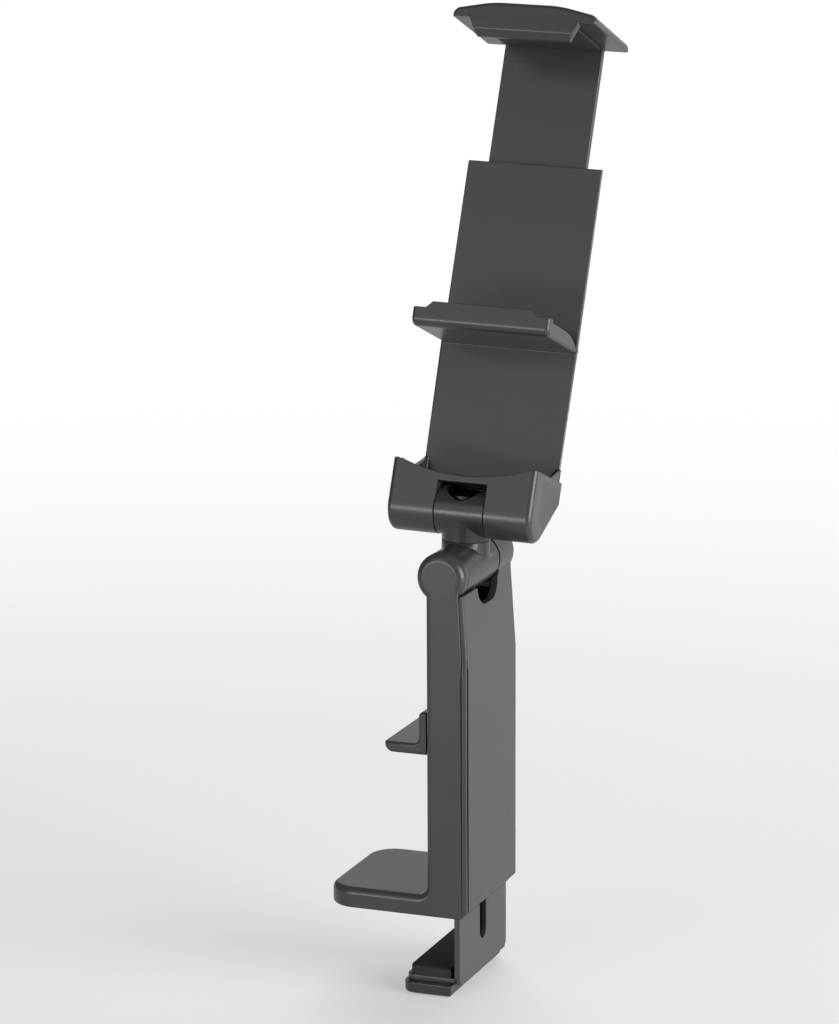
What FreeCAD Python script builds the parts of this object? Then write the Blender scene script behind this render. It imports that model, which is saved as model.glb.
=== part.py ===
import FreeCAD, Part
import os
import math

os.makedirs("parts", exist_ok=True)

# Frame: +Z up, +X outward from the table edge, +Y along the edge.
# Origin: under the foot, straight below the base hinge axis, mid width. Millimetres.

# Pose in which the holder is drawn
base_tilt_rest = 1.5      # neck leans outward
clip_tilt_rest = 20.3     # clip leans back

# Base body
body_width = 34.4
body_inner = -3.5
body_outer = 6.5
hinge_z = 82.2
ear_radius = 6.0
ear_rim = 1.9
near_ear = 3.0            # the near ear is a thin disc of the body
neck_clear = 1.9          # from the neck to the far ear, which is thick and belongs to the cover
far_rim = 0.5
side_wall = 0.95
foot_reach = 26.0         # foot length beyond the inner face
foot_thick = 5.2
foot_corner = 7.0
foot_edge = 1.9
waist_z = 57.0            # outer face starts to lean inward here
waist_lean = 1.5
wall_step = 1.2           # side walls fall back from the cover above the waist
bottom_bevel = 1.9
edge_round = 0.8
inner_round = 1.4         # inner upright edges

# Outer cover
cover_thick = 1.9
cover_top = hinge_z - 3.7
seam = 0.12
notch_width = 13.6
notch_bottom = hinge_z - 8.6
root_inner = 1.0          # solid root between cover and far ear

# Clamp slide
slide_thick = 1.4
slide_play = 0.25
slide_side_play = 0.15
slide_top = 48.4
slide_bottom = -16.5
slide_corner = 3.0
close_travel = 8.0
open_travel = 15.0
slot_width = 4.2
slot_bottom = -9.3
jaw_reach = 14.0
jaw_thick = 2.7
pad_thick = 2.4
foot_pad_thick = 1.2
slide_pin_z = 24.0        # pins on the slide that carry the springs
jaw_screw_y = 11.0
jaw_screw_x = -2.0
tab_screw_y = 2.2
spring_y = 10.5
spring_post_drop = 3.0    # spring posts below the waist
small_pin = 0.8
spring_coil = 1.75
spring_wire = 0.3

# Thumb tab
tab_width = 30.0
tab_gap = 0.8
tab_leg = 2.1
tab_reach = 9.7
tab_height = 11.0
tab_shelf = 2.8
tab_bottom = 39.0
stem_width = 8.0
stem_height = 6.0

# Hinge pin, link and neck
pin_radius = 1.75
pin_play = 0.05
washer_thick = 0.35
link_gap = 12.75          # base hinge axis to clip hinge axis
neck_radius = 5.7
seam_height = 6.15        # swivel seam above the base hinge axis
swivel_play = 0.12
screw_radius = 1.6
screw_head = 4.2
head_floor = 2.4          # floor of the screw head recess above the clip axis
barrel_width = 11.9
barrel_radius = 5.9

# Clip frame
cradle_width = 35.8
cradle_front = 6.0
cradle_top = 10.4
scoop_depth = 3.0
cradle_wall = 1.8
window_width = 12.4
window_top = 5.9
pocket_floor = 3.5
nose_radius = 6.0
cradle_back = 13.4
back_corner = 5.4
ramp_start = 6.6          # end walls rise from here to the plate
ramp_rise = 3.0
plate_front = 12.8
plate_back = 17.3
plate_width = 34.4
plate_taper = 2.0         # each side is narrower at the back by this
sleeve_top = 86.0
sleeve_wall = 1.2
sleeve_side = 4.6
clip_pin_radius = 1.5

# Phone jaws
jaw_width = 34.9
lip_front = 9.8
lip_thick = 2.7
lower_shelf = 44.9
lower_lip_low = 41.3
lower_lip_end = 45.7
tongue_half = 12.3
tongue_rise = 1.5
end_round = 3.0
lower_pad_thick = 2.5

# Top slide
top_seat = 115.6
top_width = 35.8
top_thick = 4.0           # at mid width, above the seat
top_flat = 8.4            # half length of the flat on top
top_fall = 1.9            # the ends are lower by this
top_tongue = 4.2          # reach of the tongue below the seat
top_chamfer = 1.6
jaw_close = 27.0          # travel towards the lower jaw, which the slide's tail has to clear
top_play = 0.2
top_pad_thick = 0.8


# Helpers

def box(x0, x1, y0, y1, z0, z1):
    return Part.makeBox(x1 - x0, y1 - y0, z1 - z0, FreeCAD.Vector(x0, y0, z0))


def rod(start, end, radius):
    a = FreeCAD.Vector(*start)
    b = FreeCAD.Vector(*end)
    return Part.makeCylinder(radius, (b - a).Length, a, b - a)


def ring(middle, axis, radius, wire):
    start = FreeCAD.Vector(*middle) - axis * wire
    outer = Part.makeCylinder(radius + wire, 2 * wire, start, axis)
    inner = Part.makeCylinder(radius - wire, 2 * wire, start, axis)
    return outer.cut(inner)


def plate_xz(points, y0, y1):
    loop = [FreeCAD.Vector(x, y0, z) for x, z in points]
    face = Part.Face(Part.makePolygon(loop + [loop[0]]))
    return face.extrude(FreeCAD.Vector(0, y1 - y0, 0))


def plate_yz(points, x0, x1):
    loop = [FreeCAD.Vector(x0, y, z) for y, z in points]
    face = Part.Face(Part.makePolygon(loop + [loop[0]]))
    return face.extrude(FreeCAD.Vector(x1 - x0, 0, 0))


def plate_xy(points, z0, z1):
    loop = [FreeCAD.Vector(x, y, z0) for x, y in points]
    face = Part.Face(Part.makePolygon(loop + [loop[0]]))
    return face.extrude(FreeCAD.Vector(0, 0, z1 - z0))


def straight_edges(shape, axis, keep):
    found = []
    for edge in shape.Edges:
        if edge.Curve.TypeId != "Part::GeomLine":
            continue
        a = edge.Vertexes[0].Point
        b = edge.Vertexes[-1].Point
        run = b - a
        if run.Length < 1e-6:
            continue
        run.normalize()
        if abs(abs(run.dot(axis)) - 1.0) > 1e-4:
            continue
        if keep((a + b) * 0.5):
            found.append(edge)
    return found


def rounded(shape, radius, axis, keep):
    edges = straight_edges(shape, axis, keep)
    return shape.makeFillet(radius, edges)


def group(solids):
    return Part.makeCompound(solids)


def save(shape, node):
    shape.exportStep("parts/" + node + ".step")


AX = FreeCAD.Vector(1, 0, 0)
AY = FreeCAD.Vector(0, 1, 0)
AZ = FreeCAD.Vector(0, 0, 1)

half = body_width / 2
tilt_place = FreeCAD.Placement(
    FreeCAD.Vector(0, 0, hinge_z), FreeCAD.Rotation(AY, base_tilt_rest))
clip_place = tilt_place.multiply(FreeCAD.Placement(
    FreeCAD.Vector(0, 0, link_gap), FreeCAD.Rotation(AX, -clip_tilt_rest)))


def in_neck(shape):
    copy = shape.copy()
    copy.Placement = tilt_place.multiply(copy.Placement)
    return copy


def in_clip(shape):
    copy = shape.copy()
    copy.Placement = clip_place.multiply(copy.Placement)
    return copy


# Base body: foot, upright and two ears in one moulding
foot_tip = body_inner - foot_reach
top_outer = body_outer - waist_lean
upright_top = hinge_z - 1.0
outline = [
    (body_inner, 0), (body_outer - bottom_bevel, 0), (body_outer, bottom_bevel),
    (body_outer, waist_z), (top_outer, cover_top), (top_outer - 1.0, upright_top),
    (body_inner, upright_top)]
upright = plate_xz(outline, -half, half)
near_side = -half + near_ear
far_side = neck_radius + neck_clear


def ear_disc(y_in, y_out, rim):
    disc = rod((0, y_in, hinge_z), (0, y_out, hinge_z), ear_radius)
    ends = []
    for edge in disc.Edges:
        if edge.Curve.TypeId == "Part::GeomCircle" and abs(edge.Vertexes[0].Point.y - y_out) < 1e-6:
            ends.append(edge)
    return disc.makeFillet(rim, ends)


near_disc = ear_disc(near_side, -half, ear_rim)
far_disc = ear_disc(far_side, half, far_rim)
foot = box(foot_tip, body_inner + 2.0, -half, half, 0, foot_thick)
foot = rounded(foot, foot_corner, AZ, lambda p: p.x < foot_tip + 1)
foot_rim = []
for edge in foot.Edges:
    mid = edge.valueAt((edge.FirstParameter + edge.LastParameter) / 2)
    on_top = abs(mid.z - foot_thick) < 1e-6
    if on_top and mid.x < body_inner + 1.5:
        foot_rim.append(edge)
foot = foot.makeFillet(foot_edge, foot_rim)

# The outer layer of the upright is a separate cover, let in between the side walls
cover_inner = body_outer - cover_thick
channel_half = half - side_wall
cover_line = [
    (cover_inner, -1), (body_outer + 1, -1), (body_outer + 1, cover_top),
    (cover_inner - waist_lean, cover_top), (cover_inner, waist_z)]
cover_zone = plate_xz(cover_line, -channel_half, channel_half)
body = rounded(upright, inner_round, AZ, lambda p: p.x < body_inner + 0.1)
body = rounded(body, edge_round, AZ, lambda p: p.x > body_outer - 0.1)
body = body.cut(cover_zone)
step_line = [
    (body_outer + 1, waist_z), (body_outer, waist_z), (body_outer - wall_step, waist_z + 4.5),
    (top_outer - 0.5, cover_top), (top_outer - 0.5, hinge_z), (body_outer + 1, hinge_z)]
body = body.cut(plate_xz(step_line, -half - 1, half + 1))
body = body.fuse(foot)
body = body.fuse(near_disc)
body = body.removeSplitter()

# Room for the link knuckle and for the far ear with its root
knuckle_room = rod((0, near_side, hinge_z), (0, half + 1, hinge_z), ear_radius + 0.25)
sky = box(-20, 20, near_side, half + 1, hinge_z - 3.4, hinge_z + 20)
root_low = cover_top - 2.5
notch = box(1.0, 20, -notch_width / 2, notch_width / 2, notch_bottom, hinge_z)
notch = rounded(notch, 5.0, AX, lambda p: p.z < notch_bottom + 1)
body = body.cut(knuckle_room).cut(sky).cut(notch)
body = body.cut(box(root_inner - seam, 20, far_side, channel_half, root_low - seam, hinge_z))

# Channel for the clamp slide and two wells for its springs
slide_outer = cover_inner - slide_play
slide_inner = slide_outer - slide_thick
channel_floor = slide_inner - slide_play
body = body.cut(box(channel_floor, 20, -channel_half, channel_half, -1, waist_z + 0.3))
well_floor = body_inner + 1.3
spring_x = (well_floor + channel_floor) / 2
well_half = spring_coil + 0.45
well_low = slide_pin_z - open_travel - small_pin - 0.6
post_z = waist_z - spring_post_drop
for side in (-1, 1):
    y = side * spring_y
    body = body.cut(box(well_floor, channel_floor + 1, y - well_half, y + well_half, well_low, waist_z))

# Slot in the inner wall for the stem of the thumb tab
stem_low = tab_bottom + 2.0
stem_high = stem_low + stem_height
body = body.cut(box(-20, channel_floor + 1, -stem_width / 2 - 0.4, stem_width / 2 + 0.4,
                    stem_low - open_travel - 0.6, stem_high + close_travel + 0.6))

# Hinge pin bore, blind at the near ear
bore_end = half - 1.4
body = body.cut(rod((0, -bore_end, hinge_z), (0, near_side + 1, hinge_z), pin_radius + 0.02))

# Screw holes, stop pin hole, spring post holes and pad recess
stop_z = 3.6
cover_screw_z = 67.0
cover_screw_y = 11.0
for side in (-1, 1):
    y = side * cover_screw_y
    body = body.cut(rod((-20, y, cover_screw_z), (20, y, cover_screw_z), 0.92))
    body = body.cut(rod((-20, y, cover_screw_z), (body_inner + 1.3, y, cover_screw_z), 1.75))
    post_y = side * spring_y
    body = body.cut(rod((body_inner + 0.5, post_y, post_z), (0, post_y, post_z), small_pin + 0.02))
body = body.cut(rod((-1.5, 0, stop_z), (20, 0, stop_z), 1.52))
pad_inset = 3.4
pad_end = channel_floor - 1.4
pad_plan = box(foot_tip + pad_inset, pad_end, -half + pad_inset, half - pad_inset,
               -0.02, foot_pad_thick)
pad_plan = rounded(pad_plan, 4.0, AZ, lambda p: True)
body = body.cut(box(-40, 20, -40, 40, -1, 0.3))
body = body.cut(pad_plan.copy())
save(body, "base_body")

foot_pad = pad_plan.common(box(-60, 20, -40, 40, 0, foot_pad_thick - 0.02))
save(foot_pad, "foot_pad")

# Outer cover, with the notch in its top edge and the far ear on its root
cover = upright.common(cover_zone)
cover = cover.common(box(-20, 20, -channel_half + seam, channel_half - seam, -1, 200))
cover = cover.cut(box(-20, 20, -40, 40, cover_top - seam, 200))
cover = cover.cut(box(-20, 20, -40, 40, -1, 0.3))
cover_shift = cover.copy()
cover_shift.translate(FreeCAD.Vector(seam, 0, 0))
cover = cover.common(cover_shift)
cover = cover.cut(notch)
cover = cover.cut(rod((0, -40, hinge_z), (0, far_side, hinge_z), ear_radius + seam))
root = box(root_inner, top_outer - 0.1, far_side, channel_half - seam, root_low, hinge_z - 1.0)
cover = cover.fuse([root, far_disc]).removeSplitter()
cover = cover.cut(rod((0, far_side - 1, hinge_z), (0, half + 1, hinge_z), pin_radius + 0.02))
for side in (-1, 1):
    y = side * cover_screw_y
    cover = cover.cut(rod((0, y, cover_screw_z), (cover_inner + 0.7, y, cover_screw_z), 0.82))
cover = cover.cut(rod((0, 0, stop_z), (cover_inner + 1.2, 0, stop_z), 1.12))
save(cover, "base_cover")

# Screws that hold the cover from the inner side
screws = []
for side in (-1, 1):
    y = side * cover_screw_y
    head = rod((body_inner + 0.3, y, cover_screw_z), (body_inner + 1.3, y, cover_screw_z), 1.7)
    shank = rod((body_inner + 1.3, y, cover_screw_z), (cover_inner + 0.6, y, cover_screw_z), 0.8)
    cross_a = box(body_inner, body_inner + 0.8, y - 1.0, y + 1.0,
                  cover_screw_z - 0.2, cover_screw_z + 0.2)
    cross_b = box(body_inner, body_inner + 0.8, y - 0.2, y + 0.2,
                  cover_screw_z - 1.0, cover_screw_z + 1.0)
    screws.append(head.fuse(shank).cut(cross_a).cut(cross_b).removeSplitter())
save(group(screws), "cover_screws")

# Stop pin: pressed into the body, passes through the slot of the slide into the cover
stop = rod((-1.4, 0, stop_z), (cover_inner - 0.05, 0, stop_z), 1.5)
stop = stop.fuse(rod((cover_inner - 0.1, 0, stop_z), (cover_inner + 1.1, 0, stop_z), 1.1))
save(stop.removeSplitter(), "stop_pin")

# Fixed posts for the clamp springs
posts = []
for side in (-1, 1):
    y = side * spring_y
    posts.append(rod((body_inner + 0.5, y, post_z), (channel_floor - 0.1, y, post_z), small_pin))
save(group(posts), "spring_posts")

# Base hinge pin and its two friction washers
pin = rod((0, -bore_end + 0.1, hinge_z), (0, half - 1.0, hinge_z), pin_radius)
save(pin, "base_hinge_pin")
knuckle_near = near_side + washer_thick + 0.06
knuckle_far = far_side - washer_thick - 0.06
washers = []
for inner, outer in ((knuckle_near - 0.03, near_side + 0.03), (knuckle_far + 0.03, far_side - 0.03)):
    disc = rod((0, inner, hinge_z), (0, outer, hinge_z), ear_radius - 0.8)
    washers.append(disc.cut(rod((0, -20, hinge_z), (0, 20, hinge_z), pin_radius + pin_play)))
save(group(washers), "hinge_washers")

# Clamp slide: a plate with a stop slot, turned inward at the bottom
slide_half = channel_half - slide_side_play
slide = box(slide_inner, slide_outer, -slide_half, slide_half, slide_bottom, slide_top)
slide = rounded(slide, slide_corner, AX, lambda p: p.z > 0)
slide = slide.fuse(box(slide_outer - jaw_reach, slide_outer, -slide_half, slide_half,
                       slide_bottom, slide_bottom + slide_thick)).removeSplitter()
slide = rounded(slide, 1.0, AY, lambda p: p.x > slide_outer - 0.1 and p.z < slide_bottom + 0.1)
slide = rounded(slide, 2.2, AZ, lambda p: p.x < slide_outer - jaw_reach + 0.1)
for side in (-1, 1):
    corner = plate_yz([(side * slide_half, slide_bottom), (side * slide_half, slide_bottom + 1.6),
                       (side * (slide_half - 3.6), slide_bottom)], slide_inner - 0.5, slide_outer + 1)
    slide = slide.cut(corner)
slot_low = slot_bottom + slot_width / 2
slot_high = stop_z + open_travel + 0.8
slot = box(-20, 20, -slot_width / 2, slot_width / 2, slot_low, slot_high)
slot = slot.fuse(rod((-20, 0, slot_low), (20, 0, slot_low), slot_width / 2))
slot = slot.fuse(rod((-20, 0, slot_high), (20, 0, slot_high), slot_width / 2))
slide = slide.cut(slot)
tab_screw_z = stem_low + stem_height / 2
for side in (-1, 1):
    y = side * tab_screw_y
    slide = slide.cut(rod((-20, y, tab_screw_z), (20, y, tab_screw_z), 0.85))
    slide = slide.cut(rod((slide_outer - 0.7, y, tab_screw_z), (20, y, tab_screw_z), 1.55))
    y = side * spring_y
    slide = slide.cut(rod((-20, y, slide_pin_z), (20, y, slide_pin_z), small_pin + 0.02))
    y = side * jaw_screw_y
    slide = slide.cut(rod((jaw_screw_x, y, slide_bottom - 1), (jaw_screw_x, y, slide_bottom + 8), 0.92))
save(slide, "clamp_slide")

# Clamp jaw under the turned flange, and the soft pad on top of it
jaw_low = slide_bottom - jaw_thick
jaw_outer = slide_outer - 1.9
jaw_tip = slide_outer - jaw_reach - 0.4
clamp_jaw = box(jaw_tip, jaw_outer, -half + 0.2, half - 0.2, jaw_low, slide_bottom - 0.02)
clamp_jaw = rounded(clamp_jaw, 3.0, AZ, lambda p: p.x < jaw_tip + 0.1)
clamp_jaw = rounded(clamp_jaw, 1.0, AY, lambda p: p.z < jaw_low + 0.1 and p.x < jaw_tip + 0.1)
clamp_jaw = rounded(clamp_jaw, 2.0, AY, lambda p: p.z < jaw_low + 0.1 and p.x > jaw_outer - 0.1)
for side in (-1, 1):
    y = side * jaw_screw_y
    clamp_jaw = clamp_jaw.cut(rod((jaw_screw_x, y, -60), (jaw_screw_x, y, 0), 0.92))
    clamp_jaw = clamp_jaw.cut(rod((jaw_screw_x, y, -60), (jaw_screw_x, y, jaw_low + 1.1), 1.75))
save(clamp_jaw, "clamp_jaw")
pad_floor = slide_bottom + slide_thick
clamp_pad = box(jaw_tip + 1.4, slide_inner - 1.0, -slide_half + 0.8, slide_half - 0.8,
                pad_floor + 0.02, pad_floor + pad_thick)
clamp_pad = rounded(clamp_pad, 2.0, AZ, lambda p: p.x < jaw_tip + 1.5)
rim = [e for e in clamp_pad.Edges
       if abs(e.BoundBox.ZMin - pad_floor - pad_thick) < 1e-4]
clamp_pad = clamp_pad.makeFillet(0.6, rim)
for side in (-1, 1):
    y = side * jaw_screw_y
    clamp_pad = clamp_pad.cut(rod((jaw_screw_x, y, pad_floor - 1), (jaw_screw_x, y, pad_floor + 0.7), 0.92))
save(clamp_pad, "clamp_pad")
jaw_screws = []
for side in (-1, 1):
    x = jaw_screw_x
    y = side * jaw_screw_y
    head = rod((x, y, jaw_low + 0.2), (x, y, jaw_low + 1.1), 1.7)
    shank = rod((x, y, jaw_low + 1.1), (x, y, pad_floor + 0.6), 0.9)
    cross_a = box(x - 1.0, x + 1.0, y - 0.2, y + 0.2, jaw_low, jaw_low + 0.7)
    cross_b = box(x - 0.2, x + 0.2, y - 1.0, y + 1.0, jaw_low, jaw_low + 0.7)
    jaw_screws.append(head.fuse(shank).cut(cross_a).cut(cross_b).removeSplitter())
save(group(jaw_screws), "jaw_screws")

# Thumb tab: an L-shaped grip whose stem reaches the slide through the inner wall
tab_back = body_inner - tab_gap
tab_front = tab_back - tab_reach
tab_line = [
    (tab_back, tab_bottom), (tab_back, tab_bottom + tab_height),
    (tab_back - tab_leg, tab_bottom + tab_height), (tab_back - tab_leg, tab_bottom + tab_shelf),
    (tab_front, tab_bottom + tab_shelf), (tab_front, tab_bottom)]
tab = plate_xz(tab_line, -tab_width / 2, tab_width / 2)
tab = rounded(tab, 2.0, AY, lambda p: p.x < tab_front + 0.1 and p.z < tab_bottom + 0.1)
tab = rounded(tab, 1.3, AY, lambda p: abs(p.x - tab_back + tab_leg) < 0.1 and p.z < tab_bottom + 4)
tab = rounded(tab, 0.9, AY, lambda p: p.z > tab_bottom + tab_height - 0.1 and p.x < tab_back - 1)
tab = rounded(tab, 2.0, AZ, lambda p: p.x < tab_front + 0.1)
tab = tab.fuse(box(tab_back - 0.5, slide_inner - 0.02, -stem_width / 2, stem_width / 2,
                   stem_low, stem_high)).removeSplitter()
for side in (-1, 1):
    y = side * tab_screw_y
    tab = tab.cut(rod((body_inner + 1, y, tab_screw_z), (20, y, tab_screw_z), 0.82))
save(tab, "thumb_tab")
tab_screws = []
for side in (-1, 1):
    y = side * tab_screw_y
    head = rod((slide_outer - 0.7, y, tab_screw_z), (slide_outer - 0.05, y, tab_screw_z), 1.5)
    shank = rod((body_inner + 1.2, y, tab_screw_z), (slide_outer - 0.7, y, tab_screw_z), 0.8)
    cross = box(slide_outer - 0.4, slide_outer, y - 1.0, y + 1.0, tab_screw_z - 0.2, tab_screw_z + 0.2)
    tab_screws.append(head.fuse(shank).cut(cross).removeSplitter())
save(group(tab_screws), "tab_screws")

# Pins on the slide and the two clamp springs that pull it up
hook_radius = small_pin + spring_wire + 0.15
slide_pins = []
clamp_springs = []
for side in (-1, 1):
    y = side * spring_y
    x = spring_x
    pin_end = slide_outer - 0.05
    slide_pins.append(rod((well_floor + 0.6, y, slide_pin_z), (pin_end, y, slide_pin_z), small_pin))
    coil_low = slide_pin_z + 2.2
    coil_high = post_z - 2.2
    coil = rod((x, y, coil_low), (x, y, coil_high), spring_coil)
    coil = coil.cut(rod((x, y, coil_low), (x, y, coil_high), spring_coil - 2 * spring_wire + 0.05))
    hook_low = ring((x, y, slide_pin_z + 0.1), AX, hook_radius, spring_wire)
    hook_high = ring((x, y, post_z - 0.1), AX, hook_radius, spring_wire)
    leg_y = y + hook_radius
    leg_low = rod((x, leg_y, slide_pin_z + 0.2), (x, leg_y, coil_low + 0.3), spring_wire - 0.04)
    leg_high = rod((x, leg_y, coil_high - 0.3), (x, leg_y, post_z - 0.2), spring_wire - 0.04)
    clamp_springs.append(coil.fuse([hook_low, hook_high, leg_low, leg_high]).removeSplitter())
save(group(slide_pins), "slide_pins")
save(group(clamp_springs), "clamp_springs")

# Lower link: knuckle on the base hinge with an upright stub for the swivel
knuckle = rod((0, knuckle_near, 0), (0, knuckle_far, 0), ear_radius - 0.05)
stub = rod((0, 0, 0), (0, 0, seam_height), neck_radius)
lower_link = knuckle.fuse(stub).removeSplitter()
lower_link = lower_link.cut(rod((0, -20, 0), (0, 20, 0), pin_radius + pin_play))
lower_link = lower_link.cut(rod((0, 0, 2.4), (0, 0, 20), screw_radius + 0.02))
save(in_neck(lower_link), "lower_link")

# Upper link: neck and clip barrel, with a recess for the swivel screw head
neck = rod((0, 0, seam_height + swivel_play), (0, 0, link_gap), neck_radius)
barrel = rod((-barrel_width / 2, 0, link_gap), (barrel_width / 2, 0, link_gap), barrel_radius)
upper_link = neck.fuse(barrel).removeSplitter()
recess_z = link_gap + head_floor
upper_link = upper_link.cut(rod((0, 0, recess_z), (0, 0, link_gap + 20), screw_head + 0.5))
upper_link = upper_link.cut(rod((0, 0, 0), (0, 0, 30), screw_radius + pin_play))
for side in (-1, 1):
    upper_link = upper_link.cut(rod((side * 2.6, 0, link_gap), (side * 20, 0, link_gap),
                                    clip_pin_radius + pin_play))
save(in_neck(upper_link), "upper_link")
washer_top = recess_z + 0.4
swivel_washer = rod((0, 0, recess_z + 0.03), (0, 0, washer_top), screw_head)
swivel_washer = swivel_washer.cut(rod((0, 0, 0), (0, 0, 30), screw_radius + pin_play))
save(in_neck(swivel_washer), "swivel_washer")
swivel_screw = rod((0, 0, washer_top + 0.03), (0, 0, washer_top + 1.5), screw_head - 0.2)
swivel_screw = swivel_screw.fuse(rod((0, 0, 2.5), (0, 0, washer_top + 0.1), screw_radius))
swivel_screw = swivel_screw.cut(box(-2.4, 2.4, -0.35, 0.35, washer_top + 0.8, 40))
swivel_screw = swivel_screw.cut(box(-0.35, 0.35, -2.4, 2.4, washer_top + 0.8, 40))
save(in_neck(swivel_screw.removeSplitter()), "swivel_screw")

# Clip frame in its own upright frame: clip axis at the origin, X width, Y back, Z up
wide = cradle_width / 2
plate_half = plate_width / 2
tangent = math.radians(46)
tan_y = nose_radius * math.sin(tangent)
tan_z = -nose_radius * math.cos(tangent)
wedge_line = [
    (-cradle_front, cradle_top), (-cradle_front, 0), (0, 0), (tan_y, tan_z),
    (cradle_back, back_corner), (cradle_back, cradle_top + ramp_rise),
    (plate_front, cradle_top + ramp_rise), (ramp_start, cradle_top)]
cradle = plate_yz(wedge_line, -wide, wide)
cradle = cradle.fuse(rod((-wide, 0, 0), (wide, 0, 0), nose_radius)).removeSplitter()
cradle = rounded(cradle, 1.1, AZ, lambda p: p.y < -cradle_front + 0.1)
pocket_front = -cradle_front + cradle_wall
pocket_line = [
    (pocket_front, pocket_floor), (ramp_start, pocket_floor),
    (plate_front, pocket_floor + 1.05 * (plate_front - ramp_start)), (plate_front, 60), (pocket_front, 60)]
pocket = plate_yz(pocket_line, -wide + cradle_wall, wide - cradle_wall)
cradle = cradle.cut(pocket)
scoop_half = wide - 1.2
scoop_r = (scoop_half ** 2 + scoop_depth ** 2) / (2 * scoop_depth)
scoop_z = cradle_top - scoop_depth + scoop_r
scoop = rod((0, -40, scoop_z), (0, -cradle_front + cradle_wall + 0.1, scoop_z), scoop_r)
cradle = cradle.cut(scoop)

back_half = plate_half - plate_taper
plate_plan = [(-plate_half, plate_front), (plate_half, plate_front), (back_half, plate_back), (-back_half, plate_back)]
plate = plate_xy(plate_plan, cradle_top, sleeve_top)
heel_line = [
    (cradle_back - 1.2, back_corner - 1.0), (cradle_back - 0.1, back_corner), (plate_back, cradle_top),
    (plate_back, cradle_top + ramp_rise), (cradle_back - 1.2, cradle_top + ramp_rise)]
heel = plate_yz(heel_line, -back_half, back_half)
cavity_half = plate_half - sleeve_side
cavity_front = plate_front + sleeve_wall
cover_y = plate_back - sleeve_wall
cover_z = cradle_top + ramp_rise + 0.1

# Lower jaw: a flat shelf with a raised tongue on its lip, its ends rounded off towards the plate
lip_back = -lip_front + lip_thick
jaw_half = jaw_width / 2
pad_half = tongue_half
shelf = box(-jaw_half, jaw_half, -lip_front, plate_front + 0.5, lower_lip_low, lower_shelf)
lip = box(-jaw_half, jaw_half, -lip_front, lip_back, lower_lip_low, lower_lip_end)
tongue_line = [
    (-tongue_half - tongue_rise, lower_lip_end - 0.01), (-tongue_half, lower_lip_end + tongue_rise),
    (tongue_half, lower_lip_end + tongue_rise), (tongue_half + tongue_rise, lower_lip_end - 0.01)]
tongue = plate_xz(tongue_line, -lip_front, lip_back)
lower_jaw = shelf.fuse([lip, tongue]).removeSplitter()
lower_jaw = rounded(lower_jaw, 1.6, AX, lambda p: p.y < -lip_front + 0.1 and p.z < lower_lip_low + 0.1)
lower_jaw = rounded(lower_jaw, 1.4, AZ, lambda p: p.y < -lip_front + 0.1 and abs(p.x) > jaw_half - 0.1)
for x0, x1 in ((-jaw_half - 1, -pad_half - 0.5), (pad_half + 0.5, jaw_half + 1)):
    y = plate_front - end_round
    z = lower_shelf - end_round
    corner = box(x0, x1, y, plate_front, z, lower_shelf + 1)
    lower_jaw = lower_jaw.cut(corner.cut(rod((x0, y, z), (x1, y, z), end_round)))
clip_frame = cradle.fuse([plate, heel, lower_jaw]).removeSplitter()

# Sleeve for the top slide, open at the top and closed by the back cover
clip_frame = clip_frame.cut(box(-cavity_half, cavity_half, cavity_front, cover_y, cradle_top, 200))
clip_frame = clip_frame.cut(box(-40, 40, cover_y, 40, cover_z, 200))

# Window for the barrel and for the neck as the clip tilts
gap = window_width / 2
sweep = [
    (-20, window_top), (0, window_top), (4.3, 4.3), (16, -7.4), (16, -20), (-20, -20)]
clip_frame = clip_frame.cut(plate_yz(sweep, -gap, gap))
clip_frame = clip_frame.cut(rod((-gap, 0, 0), (gap, 0, 0), barrel_radius + 0.25))
ear_depth = wide - 3.4
clip_frame = clip_frame.cut(rod((-ear_depth, 0, 0), (ear_depth, 0, 0), clip_pin_radius + 0.02))

# Screw holes in the side walls of the sleeve, spring pin holes
back_screw_x = cavity_half + 1.35
back_screw_z = (cover_z + 4.0, 47.5, sleeve_top - 4.0)
for side in (-1, 1):
    for z in back_screw_z:
        clip_frame = clip_frame.cut(rod((side * back_screw_x, plate_front + 0.9, z),
                                        (side * back_screw_x, 40, z), 0.62))
clip_spring_x = 7.5
anchor_z = cradle_top + 1.6
spring_mid = (cavity_front + cover_y) / 2
for side in (-1, 1):
    clip_frame = clip_frame.cut(rod((side * clip_spring_x, plate_front + 0.5, anchor_z),
                                    (side * clip_spring_x, cavity_front + 0.1, anchor_z), 0.62))
save(in_clip(clip_frame), "clip_frame")

back_cover = plate_xy(plate_plan, cover_z + seam, sleeve_top)
back_cover = back_cover.cut(box(-40, 40, 0, cover_y + 0.03, 0, 200))
back_cover = rounded(back_cover, 0.4, AZ, lambda p: p.y > plate_back - 0.1)
for side in (-1, 1):
    for z in back_screw_z:
        back_cover = back_cover.cut(rod((side * back_screw_x, 0, z), (side * back_screw_x, 40, z), 0.62))
        back_cover = back_cover.cut(rod((side * back_screw_x, plate_back - 0.6, z),
                                        (side * back_screw_x, 40, z), 1.05))
save(in_clip(back_cover), "clip_back_cover")
back_screws = []
for side in (-1, 1):
    for z in back_screw_z:
        x = side * back_screw_x
        head = rod((x, plate_back - 0.6, z), (x, plate_back - 0.05, z), 1.0)
        shank = rod((x, plate_front + 1.0, z), (x, plate_back - 0.6, z), 0.6)
        cross = box(x - 0.7, x + 0.7, plate_back - 0.35, plate_back, z - 0.15, z + 0.15)
        back_screws.append(head.fuse(shank).cut(cross).removeSplitter())
save(in_clip(group(back_screws)), "back_cover_screws")

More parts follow.
